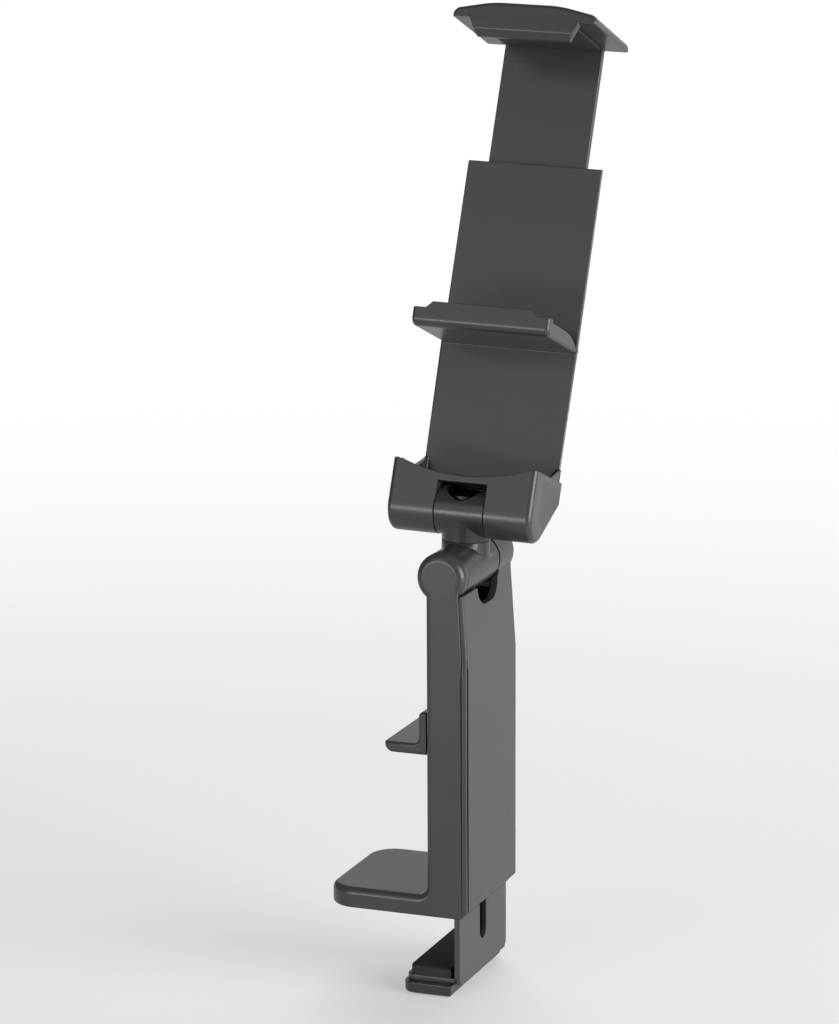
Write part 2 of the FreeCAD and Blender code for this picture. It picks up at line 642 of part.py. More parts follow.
clip_pins = []
clip_washers = []
for side in (-1, 1):
    clip_pins.append(rod((side * 3.0, 0, 0), (side * (ear_depth - 0.1), 0, 0), clip_pin_radius))
    disc = rod((side * (barrel_width / 2 + 0.03), 0, 0), (side * (gap - 0.03), 0, 0), 4.6)
    clip_washers.append(disc.cut(rod((-20, 0, 0), (20, 0, 0), clip_pin_radius + pin_play)))
save(in_clip(group(clip_pins)), "clip_hinge_pins")
save(in_clip(group(clip_washers)), "clip_hinge_washers")

# Soft pad on the lower jaw
lower_pad = box(-pad_half, pad_half, lip_back + 0.3, plate_front - 0.6,
                lower_shelf + 0.02, lower_shelf + lower_pad_thick)
lower_pad = rounded(lower_pad, 1.2, AZ, lambda p: True)
rim = [e for e in lower_pad.Edges
       if abs(e.BoundBox.ZMin - lower_shelf - lower_pad_thick) < 1e-4]
lower_pad = lower_pad.makeFillet(0.7, rim)
save(in_clip(lower_pad), "lower_jaw_pad")

# Top slide with the top jaw in one moulding
top_half = cavity_half - top_play
tail_front = cavity_front + top_play
tail_back = cover_y - top_play
tail_low = cradle_top + jaw_close + top_play
tail = box(-top_half, top_half, tail_front, tail_back, tail_low, top_seat + 1)
tail = rounded(tail, 2.0, AY, lambda p: p.z < tail_low + 0.1)
slot_top = sleeve_top - 6.0
top_pin_z = slot_top - 1.5
for side in (-1, 1):
    x = side * clip_spring_x
    tail = tail.cut(box(x - 1.4, x + 1.4, 0, 40, tail_low - 1, slot_top))
jaw_end = top_width / 2
crown = top_seat + top_thick
brow = crown - top_fall
jaw_line = [
    (-jaw_end, top_seat), (-jaw_end, brow), (-top_flat, crown), (top_flat, crown), (jaw_end, brow), (jaw_end, top_seat)]
top_jaw = plate_xz(jaw_line, -lip_front, plate_back - 0.5)
top_jaw = rounded(top_jaw, 1.2, AY, lambda p: abs(p.x) > jaw_end - 0.1 and p.z > top_seat + 0.5)
top_tongue_line = [
    (-tongue_half - 1.4, top_seat + 0.01), (tongue_half + 1.4, top_seat + 0.01),
    (tongue_half - 0.7, top_seat - top_tongue), (-tongue_half + 0.7, top_seat - top_tongue)]
tongue_block = plate_xz(top_tongue_line, -lip_front, lip_back)
low_front = straight_edges(tongue_block, AX, lambda p: p.y < -lip_front + 0.1 and p.z < top_seat - 1)
tongue_block = tongue_block.makeChamfer(top_chamfer, low_front)
top_slide = top_jaw.fuse([tongue_block, tail]).removeSplitter()
for side in (-1, 1):
    x = side * clip_spring_x
    top_slide = top_slide.cut(rod((x - 2.6, spring_mid, top_pin_z), (x + 2.6, spring_mid, top_pin_z), 0.52))
save(in_clip(top_slide), "top_slide")
top_pad = box(-pad_half, pad_half, lip_back + 0.3, tail_front - 0.8,
              top_seat - top_pad_thick, top_seat - 0.02)
top_pad = rounded(top_pad, 1.2, AZ, lambda p: True)
save(in_clip(top_pad), "top_jaw_pad")

# Clip springs with their pins: they pull the top jaw down
anchor_pins = []
top_pins = []
clip_springs = []
for side in (-1, 1):
    x = side * clip_spring_x
    y = spring_mid
    anchor_pins.append(rod((x, plate_front + 0.6, anchor_z), (x, cover_y - 0.15, anchor_z), 0.6))
    top_pins.append(rod((x - 2.5, y, top_pin_z), (x + 2.5, y, top_pin_z), 0.5))
    low = anchor_z + 2.0
    high = top_pin_z - 1.7
    coil = rod((x, y, low), (x, y, high), 0.9)
    coil = coil.cut(rod((x, y, low), (x, y, high), 0.55))
    hook_low = ring((x, y, anchor_z + 0.05), AY, 0.85, 0.18)
    leg_low = rod((x + 0.78, y, anchor_z + 0.3), (x + 0.78, y, low + 0.2), 0.16)
    hook_high = ring((x, y, top_pin_z - 0.03), AX, 0.72, 0.18)
    leg_high = rod((x, y + 0.72, high - 0.2), (x, y + 0.72, top_pin_z - 0.1), 0.16)
    clip_springs.append(coil.fuse([hook_low, leg_low, hook_high, leg_high]).removeSplitter())
save(in_clip(group(anchor_pins)), "clip_spring_anchors")
save(in_clip(group(top_pins)), "top_spring_pins")
save(in_clip(group(clip_springs)), "clip_springs")

for name, point in (("clip axis", (0, 0, 0)), ("lower shelf", (0, 0, lower_shelf))):
    at = clip_place.multVec(FreeCAD.Vector(*point))
    print(name, round(at.x, 3), round(at.y, 3), round(at.z, 3))
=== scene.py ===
# %% [markdown]
# # Dressing a folding travel holder
# The holder is a small folding stand of charcoal plastic. A foot and a sprung slide grip an edge from
# above and below, an upright carries a hinge, a short neck swivels on it, and a sprung clip with two jaws
# leans on the neck. The solids come from the CAD frame. Here each moulding gets its soft edges, its skin
# and its light.

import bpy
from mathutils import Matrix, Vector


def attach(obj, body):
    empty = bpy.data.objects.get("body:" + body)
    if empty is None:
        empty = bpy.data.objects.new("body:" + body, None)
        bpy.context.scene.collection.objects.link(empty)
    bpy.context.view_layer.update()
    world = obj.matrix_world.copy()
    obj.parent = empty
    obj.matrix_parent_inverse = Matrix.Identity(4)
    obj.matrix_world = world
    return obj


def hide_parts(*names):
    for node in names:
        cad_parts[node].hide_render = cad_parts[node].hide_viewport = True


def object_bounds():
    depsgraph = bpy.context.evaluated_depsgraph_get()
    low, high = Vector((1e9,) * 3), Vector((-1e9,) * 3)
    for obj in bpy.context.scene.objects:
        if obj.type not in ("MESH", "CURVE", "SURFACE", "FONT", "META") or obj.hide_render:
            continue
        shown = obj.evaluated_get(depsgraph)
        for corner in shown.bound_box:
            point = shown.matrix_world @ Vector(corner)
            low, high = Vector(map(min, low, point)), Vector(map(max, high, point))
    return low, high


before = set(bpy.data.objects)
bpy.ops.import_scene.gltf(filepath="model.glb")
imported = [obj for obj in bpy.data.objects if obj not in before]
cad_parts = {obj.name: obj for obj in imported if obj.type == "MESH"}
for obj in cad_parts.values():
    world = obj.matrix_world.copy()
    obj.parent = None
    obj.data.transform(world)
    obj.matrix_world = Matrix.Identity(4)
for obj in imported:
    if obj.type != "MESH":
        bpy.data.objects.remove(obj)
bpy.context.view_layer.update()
print("nodes:", len(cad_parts))

# %% [markdown]
# ## Camera
# The camera stands where the picture was taken from: a long lens that looks down by about 13 degrees and
# is turned about 21 degrees towards the outer face. Its turn could be typed as angles. Three directions,
# the picture's right, down and forward, are easier to check by eye, so they are written here instead.

# %% Camera
import math
import bpy
import bmesh
from mathutils import Matrix, Vector

mm = 0.001
scene = bpy.context.scene
camera_at = Vector((323.27, -860.74, 300.29))
to_right = Vector((0.93237, 0.36147, -0.00477))
to_down = Vector((0.07455, -0.20516, -0.97589))
to_front = Vector((-0.35373, 0.90953, -0.21823))
sensor = 36.0
focal_pixels = 4025.74
picture_height = 1024
camera_data = bpy.data.cameras.new("photo_camera")
camera = bpy.data.objects.new("photo_camera", camera_data)
scene.collection.objects.link(camera)
camera_turn = Matrix((to_right, -to_down, -to_front)).transposed().to_4x4()
camera.matrix_world = Matrix.Translation(camera_at * mm) @ camera_turn
camera_data.sensor_width = sensor
camera_data.lens = sensor * focal_pixels / picture_height
camera_data.clip_start = 0.05
camera_data.clip_end = 60.0
scene.camera = camera
print("lens", round(camera_data.lens, 2), "mm")

# %% [markdown]
# ## Hand tools
# Every moulding is made in the same few moves: a block or a drum is put at its size and place, its long
# edges are rounded while they are still clean, pieces are welded or carved with Boolean modifiers, and a
# thin bevel breaks what sharp edges are left. Extruding each outline would work too, but blocks and drums
# can be read as sizes. All sizes are typed in millimetres. Nothing else may be selected when an operator
# runs, so each tool lets go of everything first.

# %% Hand tools for blocks and drums
def let_go():
    if bpy.context.object and bpy.context.object.mode != "OBJECT":
        bpy.ops.object.mode_set(mode="OBJECT")
    bpy.ops.object.select_all(action="DESELECT")


def take(piece):
    let_go()
    piece.select_set(True)
    bpy.context.view_layer.objects.active = piece


def settle():
    bpy.ops.object.transform_apply(location=True, rotation=True, scale=True)


def set_down(piece, name):
    settle()
    piece.name = name
    piece.data.name = name
    return piece


def block(name, low, high):
    let_go()
    middle = (Vector(low) + Vector(high)) / 2 * mm
    bpy.ops.mesh.primitive_cube_add(size=mm, location=middle)
    piece = bpy.context.object
    piece.scale = Vector(high) - Vector(low)
    return set_down(piece, name)


def drum(name, start, end, radius, sides=96):
    let_go()
    a = Vector(start)
    b = Vector(end)
    turn = (b - a).to_track_quat("Z", "Y").to_euler()
    bpy.ops.mesh.primitive_cylinder_add(
        vertices=sides, radius=radius * mm, depth=(b - a).length * mm,
        location=(a + b) / 2 * mm, rotation=turn)
    return set_down(bpy.context.object, name)


# %% [markdown]
# Edges are chosen by where their middle lies and which way they run, because the number of an edge
# changes with every cut. A test gets the middle in millimetres and the direction, and says yes or no.

# %% Hand tools for edges
def round_edges(piece, radius, steps, wanted):
    take(piece)
    bpy.ops.object.mode_set(mode="EDIT")
    bpy.ops.mesh.select_mode(type="EDGE")
    bpy.ops.mesh.select_all(action="DESELECT")
    net = bmesh.from_edit_mesh(piece.data)
    for edge in net.edges:
        a = edge.verts[0].co / mm
        b = edge.verts[1].co / mm
        if wanted((a + b) / 2, (b - a).normalized()):
            edge.select_set(True)
    bmesh.update_edit_mesh(piece.data)
    bpy.ops.mesh.bevel(offset=radius * mm, offset_type="OFFSET", segments=steps, profile=0.5,
                       affect="EDGES", clamp_overlap=False)
    bpy.ops.object.mode_set(mode="OBJECT")


def along(axis):
    unit = Vector({"x": (1, 0, 0), "y": (0, 1, 0), "z": (0, 0, 1)}[axis])
    return lambda run: abs(run.dot(unit)) > 0.999


along_x = along("x")
along_y = along("y")
along_z = along("z")


def near(a, b, slack=0.02):
    return abs(a - b) < slack


# %% [markdown]
# A block becomes a wedge or a leaning wall when some of its corners are moved. A cut across it first
# gives it the corners that a bend needs. Where both sides move in by the same amount, one tool pinches
# them.

# %% Hand tools for corners
def move_corners(piece, wanted, by):
    take(piece)
    bpy.ops.object.mode_set(mode="EDIT")
    bpy.ops.mesh.select_mode(type="VERT")
    bpy.ops.mesh.select_all(action="DESELECT")
    net = bmesh.from_edit_mesh(piece.data)
    for corner in net.verts:
        corner.select_set(wanted(corner.co / mm))
    bmesh.update_edit_mesh(piece.data)
    bpy.ops.transform.translate(value=Vector(by) * mm)
    bpy.ops.object.mode_set(mode="OBJECT")


def pinch(piece, wanted, axis, by):
    for side in (-1, 1):
        inward = Vector((0, 0, 0))
        inward[axis] = -side * by
        move_corners(piece, lambda c: wanted(c) and c[axis] * side > 0, inward)


def slice_at(piece, point, normal):
    take(piece)
    bpy.ops.object.mode_set(mode="EDIT")
    bpy.ops.mesh.select_all(action="SELECT")
    bpy.ops.mesh.bisect(plane_co=Vector(point) * mm, plane_no=normal)
    bpy.ops.object.mode_set(mode="OBJECT")


# %% [markdown]
# Welding and carving use the exact Boolean solver, which copes with faces that lie in one plane. It
# leaves stray points, so a piece is cleaned before its last bevel. Smooth shading by angle with weighted
# normals then keeps the flats flat and lets only the rounded rims turn.

# %% Hand tools for welding, carving and finishing
same_point = 0.000002
same_plane = 0.4
sharp_angle = 32
smooth_angle = 40


def combine(piece, other, way):
    take(piece)
    joint = piece.modifiers.new("joint", "BOOLEAN")
    joint.operation = way
    joint.solver = "EXACT"
    joint.object = other
    bpy.ops.object.modifier_apply(modifier=joint.name)
    bpy.data.objects.remove(other)


def weld(piece, *others):
    for other in others:
        combine(piece, other, "UNION")


def carve(piece, *tools):
    for tool in tools:
        combine(piece, tool, "DIFFERENCE")


def clean(piece):
    take(piece)
    bpy.ops.object.mode_set(mode="EDIT")
    bpy.ops.mesh.select_all(action="SELECT")
    bpy.ops.mesh.remove_doubles(threshold=same_point)
    bpy.ops.mesh.dissolve_limited(angle_limit=math.radians(same_plane))
    bpy.ops.mesh.normals_make_consistent(inside=False)
    bpy.ops.object.mode_set(mode="OBJECT")


def smooth(piece):
    bpy.ops.object.shade_smooth_by_angle(angle=math.radians(smooth_angle))
    even = piece.modifiers.new("even normals", "WEIGHTED_NORMAL")
    even.keep_sharp = True
    even.weight = 80
    bpy.ops.object.modifier_apply(modifier=even.name)
    piece.data.calc_loop_triangles()
    print(piece.name, len(piece.data.loop_triangles), "triangles")


def break_edges(piece, width, steps=2):
    clean(piece)
    soft = piece.modifiers.new("soft edges", "BEVEL")
    soft.width = width * mm
    soft.segments = steps
    soft.limit_method = "ANGLE"
    soft.angle_limit = math.radians(sharp_angle)
    soft.use_clamp_overlap = False
    soft.loop_slide = False
    bpy.ops.object.modifier_apply(modifier=soft.name)
    smooth(piece)


# %% [markdown]
# ## Two leaning frames
# The neck leans a little outward on the base hinge, and the clip leans back on the neck. Modelling them
# where they lie would make every face a slant. So both are modelled upright, where their faces are
# square, and then laid into place in one turn.

# %% Places of the neck and the clip
hinge_z = 82.2
link_gap = 12.75
neck_lean = 1.5
clip_lean = -20.3
neck_place = Matrix.Translation((0, 0, hinge_z * mm)) @ Matrix.Rotation(math.radians(neck_lean), 4, "Y")
clip_place = (neck_place @ Matrix.Translation((0, 0, link_gap * mm))
              @ Matrix.Rotation(math.radians(clip_lean), 4, "X"))


def lay(piece, place):
    take(piece)
    piece.matrix_world = place
    settle()


print("clip axis at", [round(v * 1000, 2) for v in clip_place.translation])

# %% [markdown]
# ## Surfaces
# A surface is a node group that turns a place on the piece into a colour, a roughness and a height. The
# group is built once, and each finish places it with values of its own. The shader itself stays in the
# finish.

# %% Hand tools for surfaces
def surface_group(name, entries):
    group = bpy.data.node_groups.new(name, "ShaderNodeTree")
    for label, kind, value in entries:
        entry = group.interface.new_socket(name=label, in_out="INPUT", socket_type="NodeSocket" + kind)
        entry.default_value = value
    for label, kind in (("Color", "Color"), ("Roughness", "Float"), ("Height", "Float")):
        group.interface.new_socket(name=label, in_out="OUTPUT", socket_type="NodeSocket" + kind)
    return group


def wire(tree, giver, output, taker, entry):
    tree.links.new(giver.outputs[output], taker.inputs[entry])


def sum_node(tree, operation, constants):
    made = tree.nodes.new("ShaderNodeMath")
    made.operation = operation
    for entry, value in constants.items():
        made.inputs[entry].default_value = value
    return made


def finish_from(group, name, values, bump_strength, bump_depth):
    finish = bpy.data.materials.new(name)
    finish.use_nodes = True
    tree = finish.node_tree
    shader = tree.nodes["Principled BSDF"]
    where = tree.nodes.new("ShaderNodeTexCoord")
    surface = tree.nodes.new("ShaderNodeGroup")
    surface.node_tree = group
    for label, value in values.items():
        surface.inputs[label].default_value = value
    bump = tree.nodes.new("ShaderNodeBump")
    bump.inputs["Strength"].default_value = bump_strength
    bump.inputs["Distance"].default_value = bump_depth
    wire(tree, where, "Object", surface, "Where")
    wire(tree, surface, "Color", shader, "Base Color")
    wire(tree, surface, "Roughness", shader, "Roughness")
    wire(tree, surface, "Height", bump, "Height")
    wire(tree, bump, "Normal", shader, "Normal")
    return finish


# %% [markdown]
# ## The moulded skin
# The plastic is not smooth: its mould was etched, so the skin is a fine, even grain with soft sheen,
# slightly cloudier where the plastic flowed. A picture of such a grain would show its repeats. Two noises
# and a field of small cells have none, so the skin is mixed from them.

# %% Moulded skin: grain, pits and clouds
skin = surface_group("moulded_skin", (
    ("Where", "Vector", (0, 0, 0)),
    ("Dark", "Color", (0.09, 0.09, 0.088, 1)),
    ("Light", "Color", (0.12, 0.12, 0.117, 1)),
    ("Grain", "Float", 2600.0),
    ("Clouds", "Float", 70.0),
    ("Least Roughness", "Float", 0.42),
    ("Most Roughness", "Float", 0.55)))
given = skin.nodes.new("NodeGroupInput")
grain = skin.nodes.new("ShaderNodeTexNoise")
grain.inputs["Detail"].default_value = 3.0
grain.inputs["Roughness"].default_value = 0.55
pits = skin.nodes.new("ShaderNodeTexVoronoi")
pits.feature = "SMOOTH_F1"
clouds = skin.nodes.new("ShaderNodeTexNoise")
clouds.inputs["Detail"].default_value = 4.0
clouds.inputs["Distortion"].default_value = 0.6
for texture, size in ((grain, "Grain"), (pits, "Grain"), (clouds, "Clouds")):
    wire(skin, given, "Where", texture, "Vector")
    wire(skin, given, size, texture, "Scale")
print("skin textures:", grain.name, pits.name, clouds.name)

# %% [markdown]
# The grain and the clouds together choose the tint and the sheen, so a paler speck is also a duller one.
# The pits and the grain make the relief.

# %% Moulded skin: tint, sheen and relief
handed = skin.nodes.new("NodeGroupOutput")
speckle = sum_node(skin, "MULTIPLY_ADD", {1: 0.45})
cloud_part = sum_node(skin, "MULTIPLY", {1: 0.55})
wire(skin, grain, "Fac", speckle, 0)
wire(skin, clouds, "Fac", cloud_part, 0)
wire(skin, cloud_part, 0, speckle, 2)
tint = skin.nodes.new("ShaderNodeMix")
tint.data_type = "RGBA"
wire(skin, speckle, 0, tint, "Factor")
wire(skin, given, "Dark", tint, "A")
wire(skin, given, "Light", tint, "B")
wire(skin, tint, "Result", handed, "Color")
sheen = skin.nodes.new("ShaderNodeMapRange")
sheen.inputs["From Min"].default_value = 0.3
sheen.inputs["From Max"].default_value = 0.7
wire(skin, speckle, 0, sheen, "Value")
wire(skin, given, "Least Roughness", sheen, "To Min")
wire(skin, given, "Most Roughness", sheen, "To Max")
wire(skin, sheen, "Result", handed, "Roughness")
relief = sum_node(skin, "MULTIPLY_ADD", {1: 0.5})
wire(skin, pits, "Distance", relief, 0)
wire(skin, grain, "Fac", relief, 2)
wire(skin, relief, 0, handed, "Height")
print("skin group:", len(skin.nodes), "nodes")

# %% [markdown]
# Five finishes share that skin: the charcoal of the mouldings, a darker plastic for the links and the clamp
# jaw, a greyer one for the clamp, black rubber with a coarse, dull grain, and pale nylon for the washers. On
# the links the extra dark is partly painted shade, for the shade they sit in under the clip; on the jaw it is
# the jaw's own black plastic.

# %% Plastic and rubber finishes
skin_depth = 0.00006


def moulded(name, dark, light, grain_size, least, most, strength):
    values = {"Dark": (*dark, 1), "Light": (*light, 1), "Grain": grain_size,
              "Least Roughness": least, "Most Roughness": most}
    return finish_from(skin, name, values, strength, skin_depth)


charcoal = moulded("charcoal_plastic", (0.044, 0.044, 0.043), (0.060, 0.059, 0.057), 2600, 0.26, 0.34, 0.14)
# darker than the charcoal: on the links partly painted shade for the shade under the clip, on the clamp jaw
# its own black plastic
black_plastic_and_painted_shade = moulded("link_plastic", (0.028, 0.028, 0.027), (0.040, 0.040, 0.039), 2200, 0.24, 0.30, 0.06)
clamp_grey = moulded("clamp_plastic", (0.054, 0.053, 0.050), (0.072, 0.070, 0.067), 2400, 0.28, 0.36, 0.14)
soft_black = moulded("soft_rubber", (0.020, 0.020, 0.021), (0.034, 0.034, 0.035), 1500, 0.70, 0.86, 0.55)
nylon = moulded("washer_nylon", (0.30, 0.29, 0.27), (0.37, 0.36, 0.33), 1800, 0.38, 0.48, 0.15)
print("finishes:", charcoal.name, black_plastic_and_painted_shade.name, clamp_grey.name, soft_black.name, nylon.name)

# %% [markdown]
# ## Turned and drawn steel
# Pins, screws and springs are small steel parts. Their tool marks run round or along them. A noise that
# is stretched along one axis gives such streaks without any drawing, and the roughness follows it.

# %% Tool marks
marks = surface_group("tool_marks", (
    ("Where", "Vector", (0, 0, 0)),
    ("Dark", "Color", (0.35, 0.35, 0.35, 1)),
    ("Light", "Color", (0.55, 0.55, 0.55, 1)),
    ("Stretch", "Vector", (300.0, 300.0, 6000.0))))
given = marks.nodes.new("NodeGroupInput")
handed = marks.nodes.new("NodeGroupOutput")
spread = marks.nodes.new("ShaderNodeVectorMath")
spread.operation = "MULTIPLY"
streaks = marks.nodes.new("ShaderNodeTexNoise")
streaks.inputs["Scale"].default_value = 1.0
streaks.inputs["Detail"].default_value = 3.0
wire(marks, given, "Where", spread, 0)
wire(marks, given, "Stretch", spread, 1)
wire(marks, spread, 0, streaks, "Vector")
shade = marks.nodes.new("ShaderNodeMix")
shade.data_type = "RGBA"
wire(marks, streaks, "Fac", shade, "Factor")
wire(marks, given, "Dark", shade, "A")
wire(marks, given, "Light", shade, "B")
wire(marks, shade, "Result", handed, "Color")
dull = marks.nodes.new("ShaderNodeMapRange")
dull.inputs["To Min"].default_value = 0.24
dull.inputs["To Max"].default_value = 0.44
wire(marks, streaks, "Fac", dull, "Value")
wire(marks, dull, "Result", handed, "Roughness")
wire(marks, streaks, "Fac", handed, "Height")
print("tool marks group:", len(marks.nodes), "nodes")

# %% [markdown]
# The screws are bright zinc, and the swivel screw is dark, a painted shade for the shaded recess it sits
# in. The pins are turned, and the springs are drawn wire. All four are full metal, so they show a tinted
# mirror of what is round them.

# %% Steel finishes
marks_strength = 0.2
marks_depth = 0.00002


def steel(name, dark, light, stretch):
    values = {"Dark": (*dark, 1), "Light": (*light, 1), "Stretch": stretch}
    finish = finish_from(marks, name, values, marks_strength, marks_depth)
    finish.node_tree.nodes["Principled BSDF"].inputs["Metallic"].default_value = 1.0
    return finish


screw_zinc = steel("screw_zinc", (0.36, 0.36, 0.37), (0.52, 0.52, 0.52), (4000, 4000, 4000))
pin_steel = steel("pin_steel", (0.42, 0.42, 0.43), (0.60, 0.60, 0.60), (300, 5000, 300))
spring_wire = steel("spring_wire", (0.34, 0.34, 0.35), (0.50, 0.50, 0.50), (600, 600, 5000))
# dark steel for the swivel screw: painted shade standing in for the shade in its recess
screw_painted_shade = steel("screw_painted_shade", (0.030, 0.030, 0.031), (0.055, 0.055, 0.056), (4000, 4000, 4000))
print("steel:", screw_zinc.name, screw_painted_shade.name, pin_steel.name, spring_wire.name)

# %% [markdown]
# ## Handing over
# A finished piece gets its finish, rides on the body that it moves with, and takes the place of its CAD
# node.

# %% Hand tool to hand a piece over
def hand_over(piece, finish, body, slot, *nodes):
    piece.data.materials.clear()
    piece.data.materials.append(finish)
    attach(piece, body)
    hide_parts(*nodes)


# %% [markdown]
# ## Base body
# The base is one moulding: a flat foot, an upright with two low side walls, and a thin round ear for the
# hinge pin. The upright is a block that falls back above the waist, the foot a slab with a broad rounded
# tip, and the ear a drum whose outer rim is rolled over. The foot is welded on before the rounding, so
# that one fillet fills the inner corner. The ear stands a hair proud of the side, because two faces in
# one plane shade badly.

# %% Base body: upright and foot
half = 17.2
wall_half = 16.25
inner_face = -3.7
outer_face = 6.5
wall_edge = 5.3
wall_fall = 0.85
underside = 0.3
foot_slant = 1.75
foot_top = 5.2
foot_tip = inner_face - 25.8
foot_root = inner_face + 2.2
tip_corner = 7.0
step_z = 64.0
cover_top = 78.5
upright_top = hinge_z - 1.0
upright = block("base_body_shell", (inner_face, -half, underside), (wall_edge, half, upright_top))
round_edges(upright, wall_edge - outer_face + foot_slant, 1,
            lambda m, run: along_y(run) and m.z < underside + 0.1 and m.x > wall_edge - 0.1)
for z in (step_z, cover_top):
    slice_at(upright, (0, 0, z), (0, 0, 1))
move_corners(upright, lambda c: c.x > 4 and c.z > cover_top - 1, (-wall_fall, 0, 0))
foot = block("foot", (foot_tip, -half, underside), (foot_root, half, foot_top))
round_edges(foot, tip_corner, 12, lambda m, run: along_z(run) and m.x < foot_tip + 0.5)
weld(upright, foot)
clean(upright)
print("upright and foot:", len(upright.data.polygons), "faces")

# %% [markdown]
# The rims come next: the inner corner of the foot, the rim that runs round the inner face and the foot,
# the underside, and the thin outer edges of the side walls. The near ear is welded on when they are done,
# because its own rim is rounded while it is still a plain drum.

# %% Base body: rims and near ear
near_side = -14.2
far_side = 7.6
ear_radius = 6.0
ear_flat = -half - 0.04
ear_rim = 1.9
corner_fillet = 2.4
foot_rim = 1.6
sole_rim = 0.5
wall_rim = 0.55
round_edges(upright, corner_fillet, 6,
            lambda m, run: along_y(run) and near(m.x, inner_face) and near(m.z, foot_top))
round_edges(upright, foot_rim, 6, lambda m, run: (near(m.z, foot_top) and m.x < -20)
            or (abs(m.y) > half - 0.01 and m.x < inner_face + 0.01 and m.z > foot_top - 0.01))
round_edges(upright, sole_rim, 3, lambda m, run: near(m.z, underside) and m.x < inner_face - 1)
round_edges(upright, wall_rim, 5, lambda m, run: abs(run.z) > 0.9 and m.x > wall_edge - 1.0
            and abs(m.y) > half - 0.05 and m.z > step_z - 40)
near_ear = drum("near_ear", (0, near_side, hinge_z), (0, ear_flat, hinge_z), ear_radius, 128)
round_edges(near_ear, ear_rim, 7, lambda m, run: near(m.y, ear_flat))
weld(upright, near_ear)
print("base before carving:", len(upright.data.polygons), "faces")

# %% [markdown]
# The bed of the cover, the room for the hinge and the notch for the neck are carved out of that shape,
# each with a tool of its own size. A tool runs out past the piece, so that no thin skin is left.

# %% Base body: rooms at the hinge
past = 20
notch_half = 6.8
notch_in = 1.0
notch_low = hinge_z - 8.6
cover_seat = 4.6
seat_fall = 1.2
inner_wall = 1.6
hollow_half = 9.0
root_in = 1.0
root_low = cover_top - 2.5
root_play = 0.12


def notch_tool():
    tool = block("notch", (notch_in, -notch_half, notch_low), (past, notch_half, hinge_z))
    round_edges(tool, 5.0, 10, lambda m, run: along_x(run) and near(m.z, notch_low))
    return tool


cover_bed = block("cover_bed", (cover_seat, -wall_half, -1), (past, wall_half, cover_top))
slice_at(cover_bed, (0, 0, step_z), (0, 0, 1))
move_corners(cover_bed, lambda c: c.x < cover_seat + 0.4 and c.z > step_z + 1, (-seat_fall, 0, 0))
hollow = block("hollow", (inner_face + inner_wall, -hollow_half, step_z + 1),
               (4.0, hollow_half, hinge_z - 6.5))
knuckle_room = drum("knuckle_room", (0, near_side, hinge_z), (0, half + 1, hinge_z), ear_radius + 0.25, 128)
sky = block("sky", (-past, near_side, hinge_z - 3.4), (past, half + 1, hinge_z + past))
root_room = block("root_room", (root_in - root_play, far_side, root_low - root_play),
                  (past, wall_half, hinge_z))
carve(upright, cover_bed, hollow, knuckle_room, sky, root_room, notch_tool())
print("base with its hinge rooms:", len(upright.data.polygons), "faces")

# %% [markdown]
# Then follow the channel for the slide, the slot for the thumb tab, the seat of the foot pad, two rooms
# for the heads of the cover screws and the hole of the stop pin.

# %% Base body: channel, slot and holes
channel_floor = 2.7
channel_top = 57.3
stem_room = 4.4
stem_low = 25.4
stem_high = 55.6
pad_inset = 3.4
seat_tip = -26.1
seat_end = 1.3
seat_top = 1.2
screw_y = 11.0
screw_z = 67.0
screw_head = 1.75
stop_z = 3.6
stop_radius = 1.52
channel = block("channel", (channel_floor, -wall_half, -1), (past, wall_half, channel_top))
stem_slot = block("stem_slot", (-past, -stem_room, stem_low), (channel_floor + 1, stem_room, stem_high))
round_edges(stem_slot, 1.2, 4, lambda m, run: along_x(run))
pad_seat = block("pad_seat", (seat_tip, -half + pad_inset, -1), (seat_end, half - pad_inset, seat_top))
round_edges(pad_seat, 4.0, 8, lambda m, run: along_z(run))
carve(upright, channel, stem_slot, pad_seat)
for y in (-screw_y, screw_y):
    head_end = (inner_face + 1.3, y, screw_z)
    carve(upright, drum("screw_room", (-past, y, screw_z), head_end, screw_head, 48))
carve(upright, drum("stop_hole", (-1.5, 0, stop_z), (past, 0, stop_z), stop_radius, 48))
clean(upright)
smooth(upright)
hand_over(upright, charcoal, "base", "charcoal_plastic", "base_body")

# %% [markdown]
# ## Outer cover
# The outer face is a separate shell that closes the upright, so a fine line runs down each side of it. A
# narrow groove sets its near rim off from the flat. Above the waist its rim falls back and bares the edge
# of the side walls, and its foot is cut at a slant. It is one block with bends cut into it, so that the
# flat and the slope above it meet in clean edges.

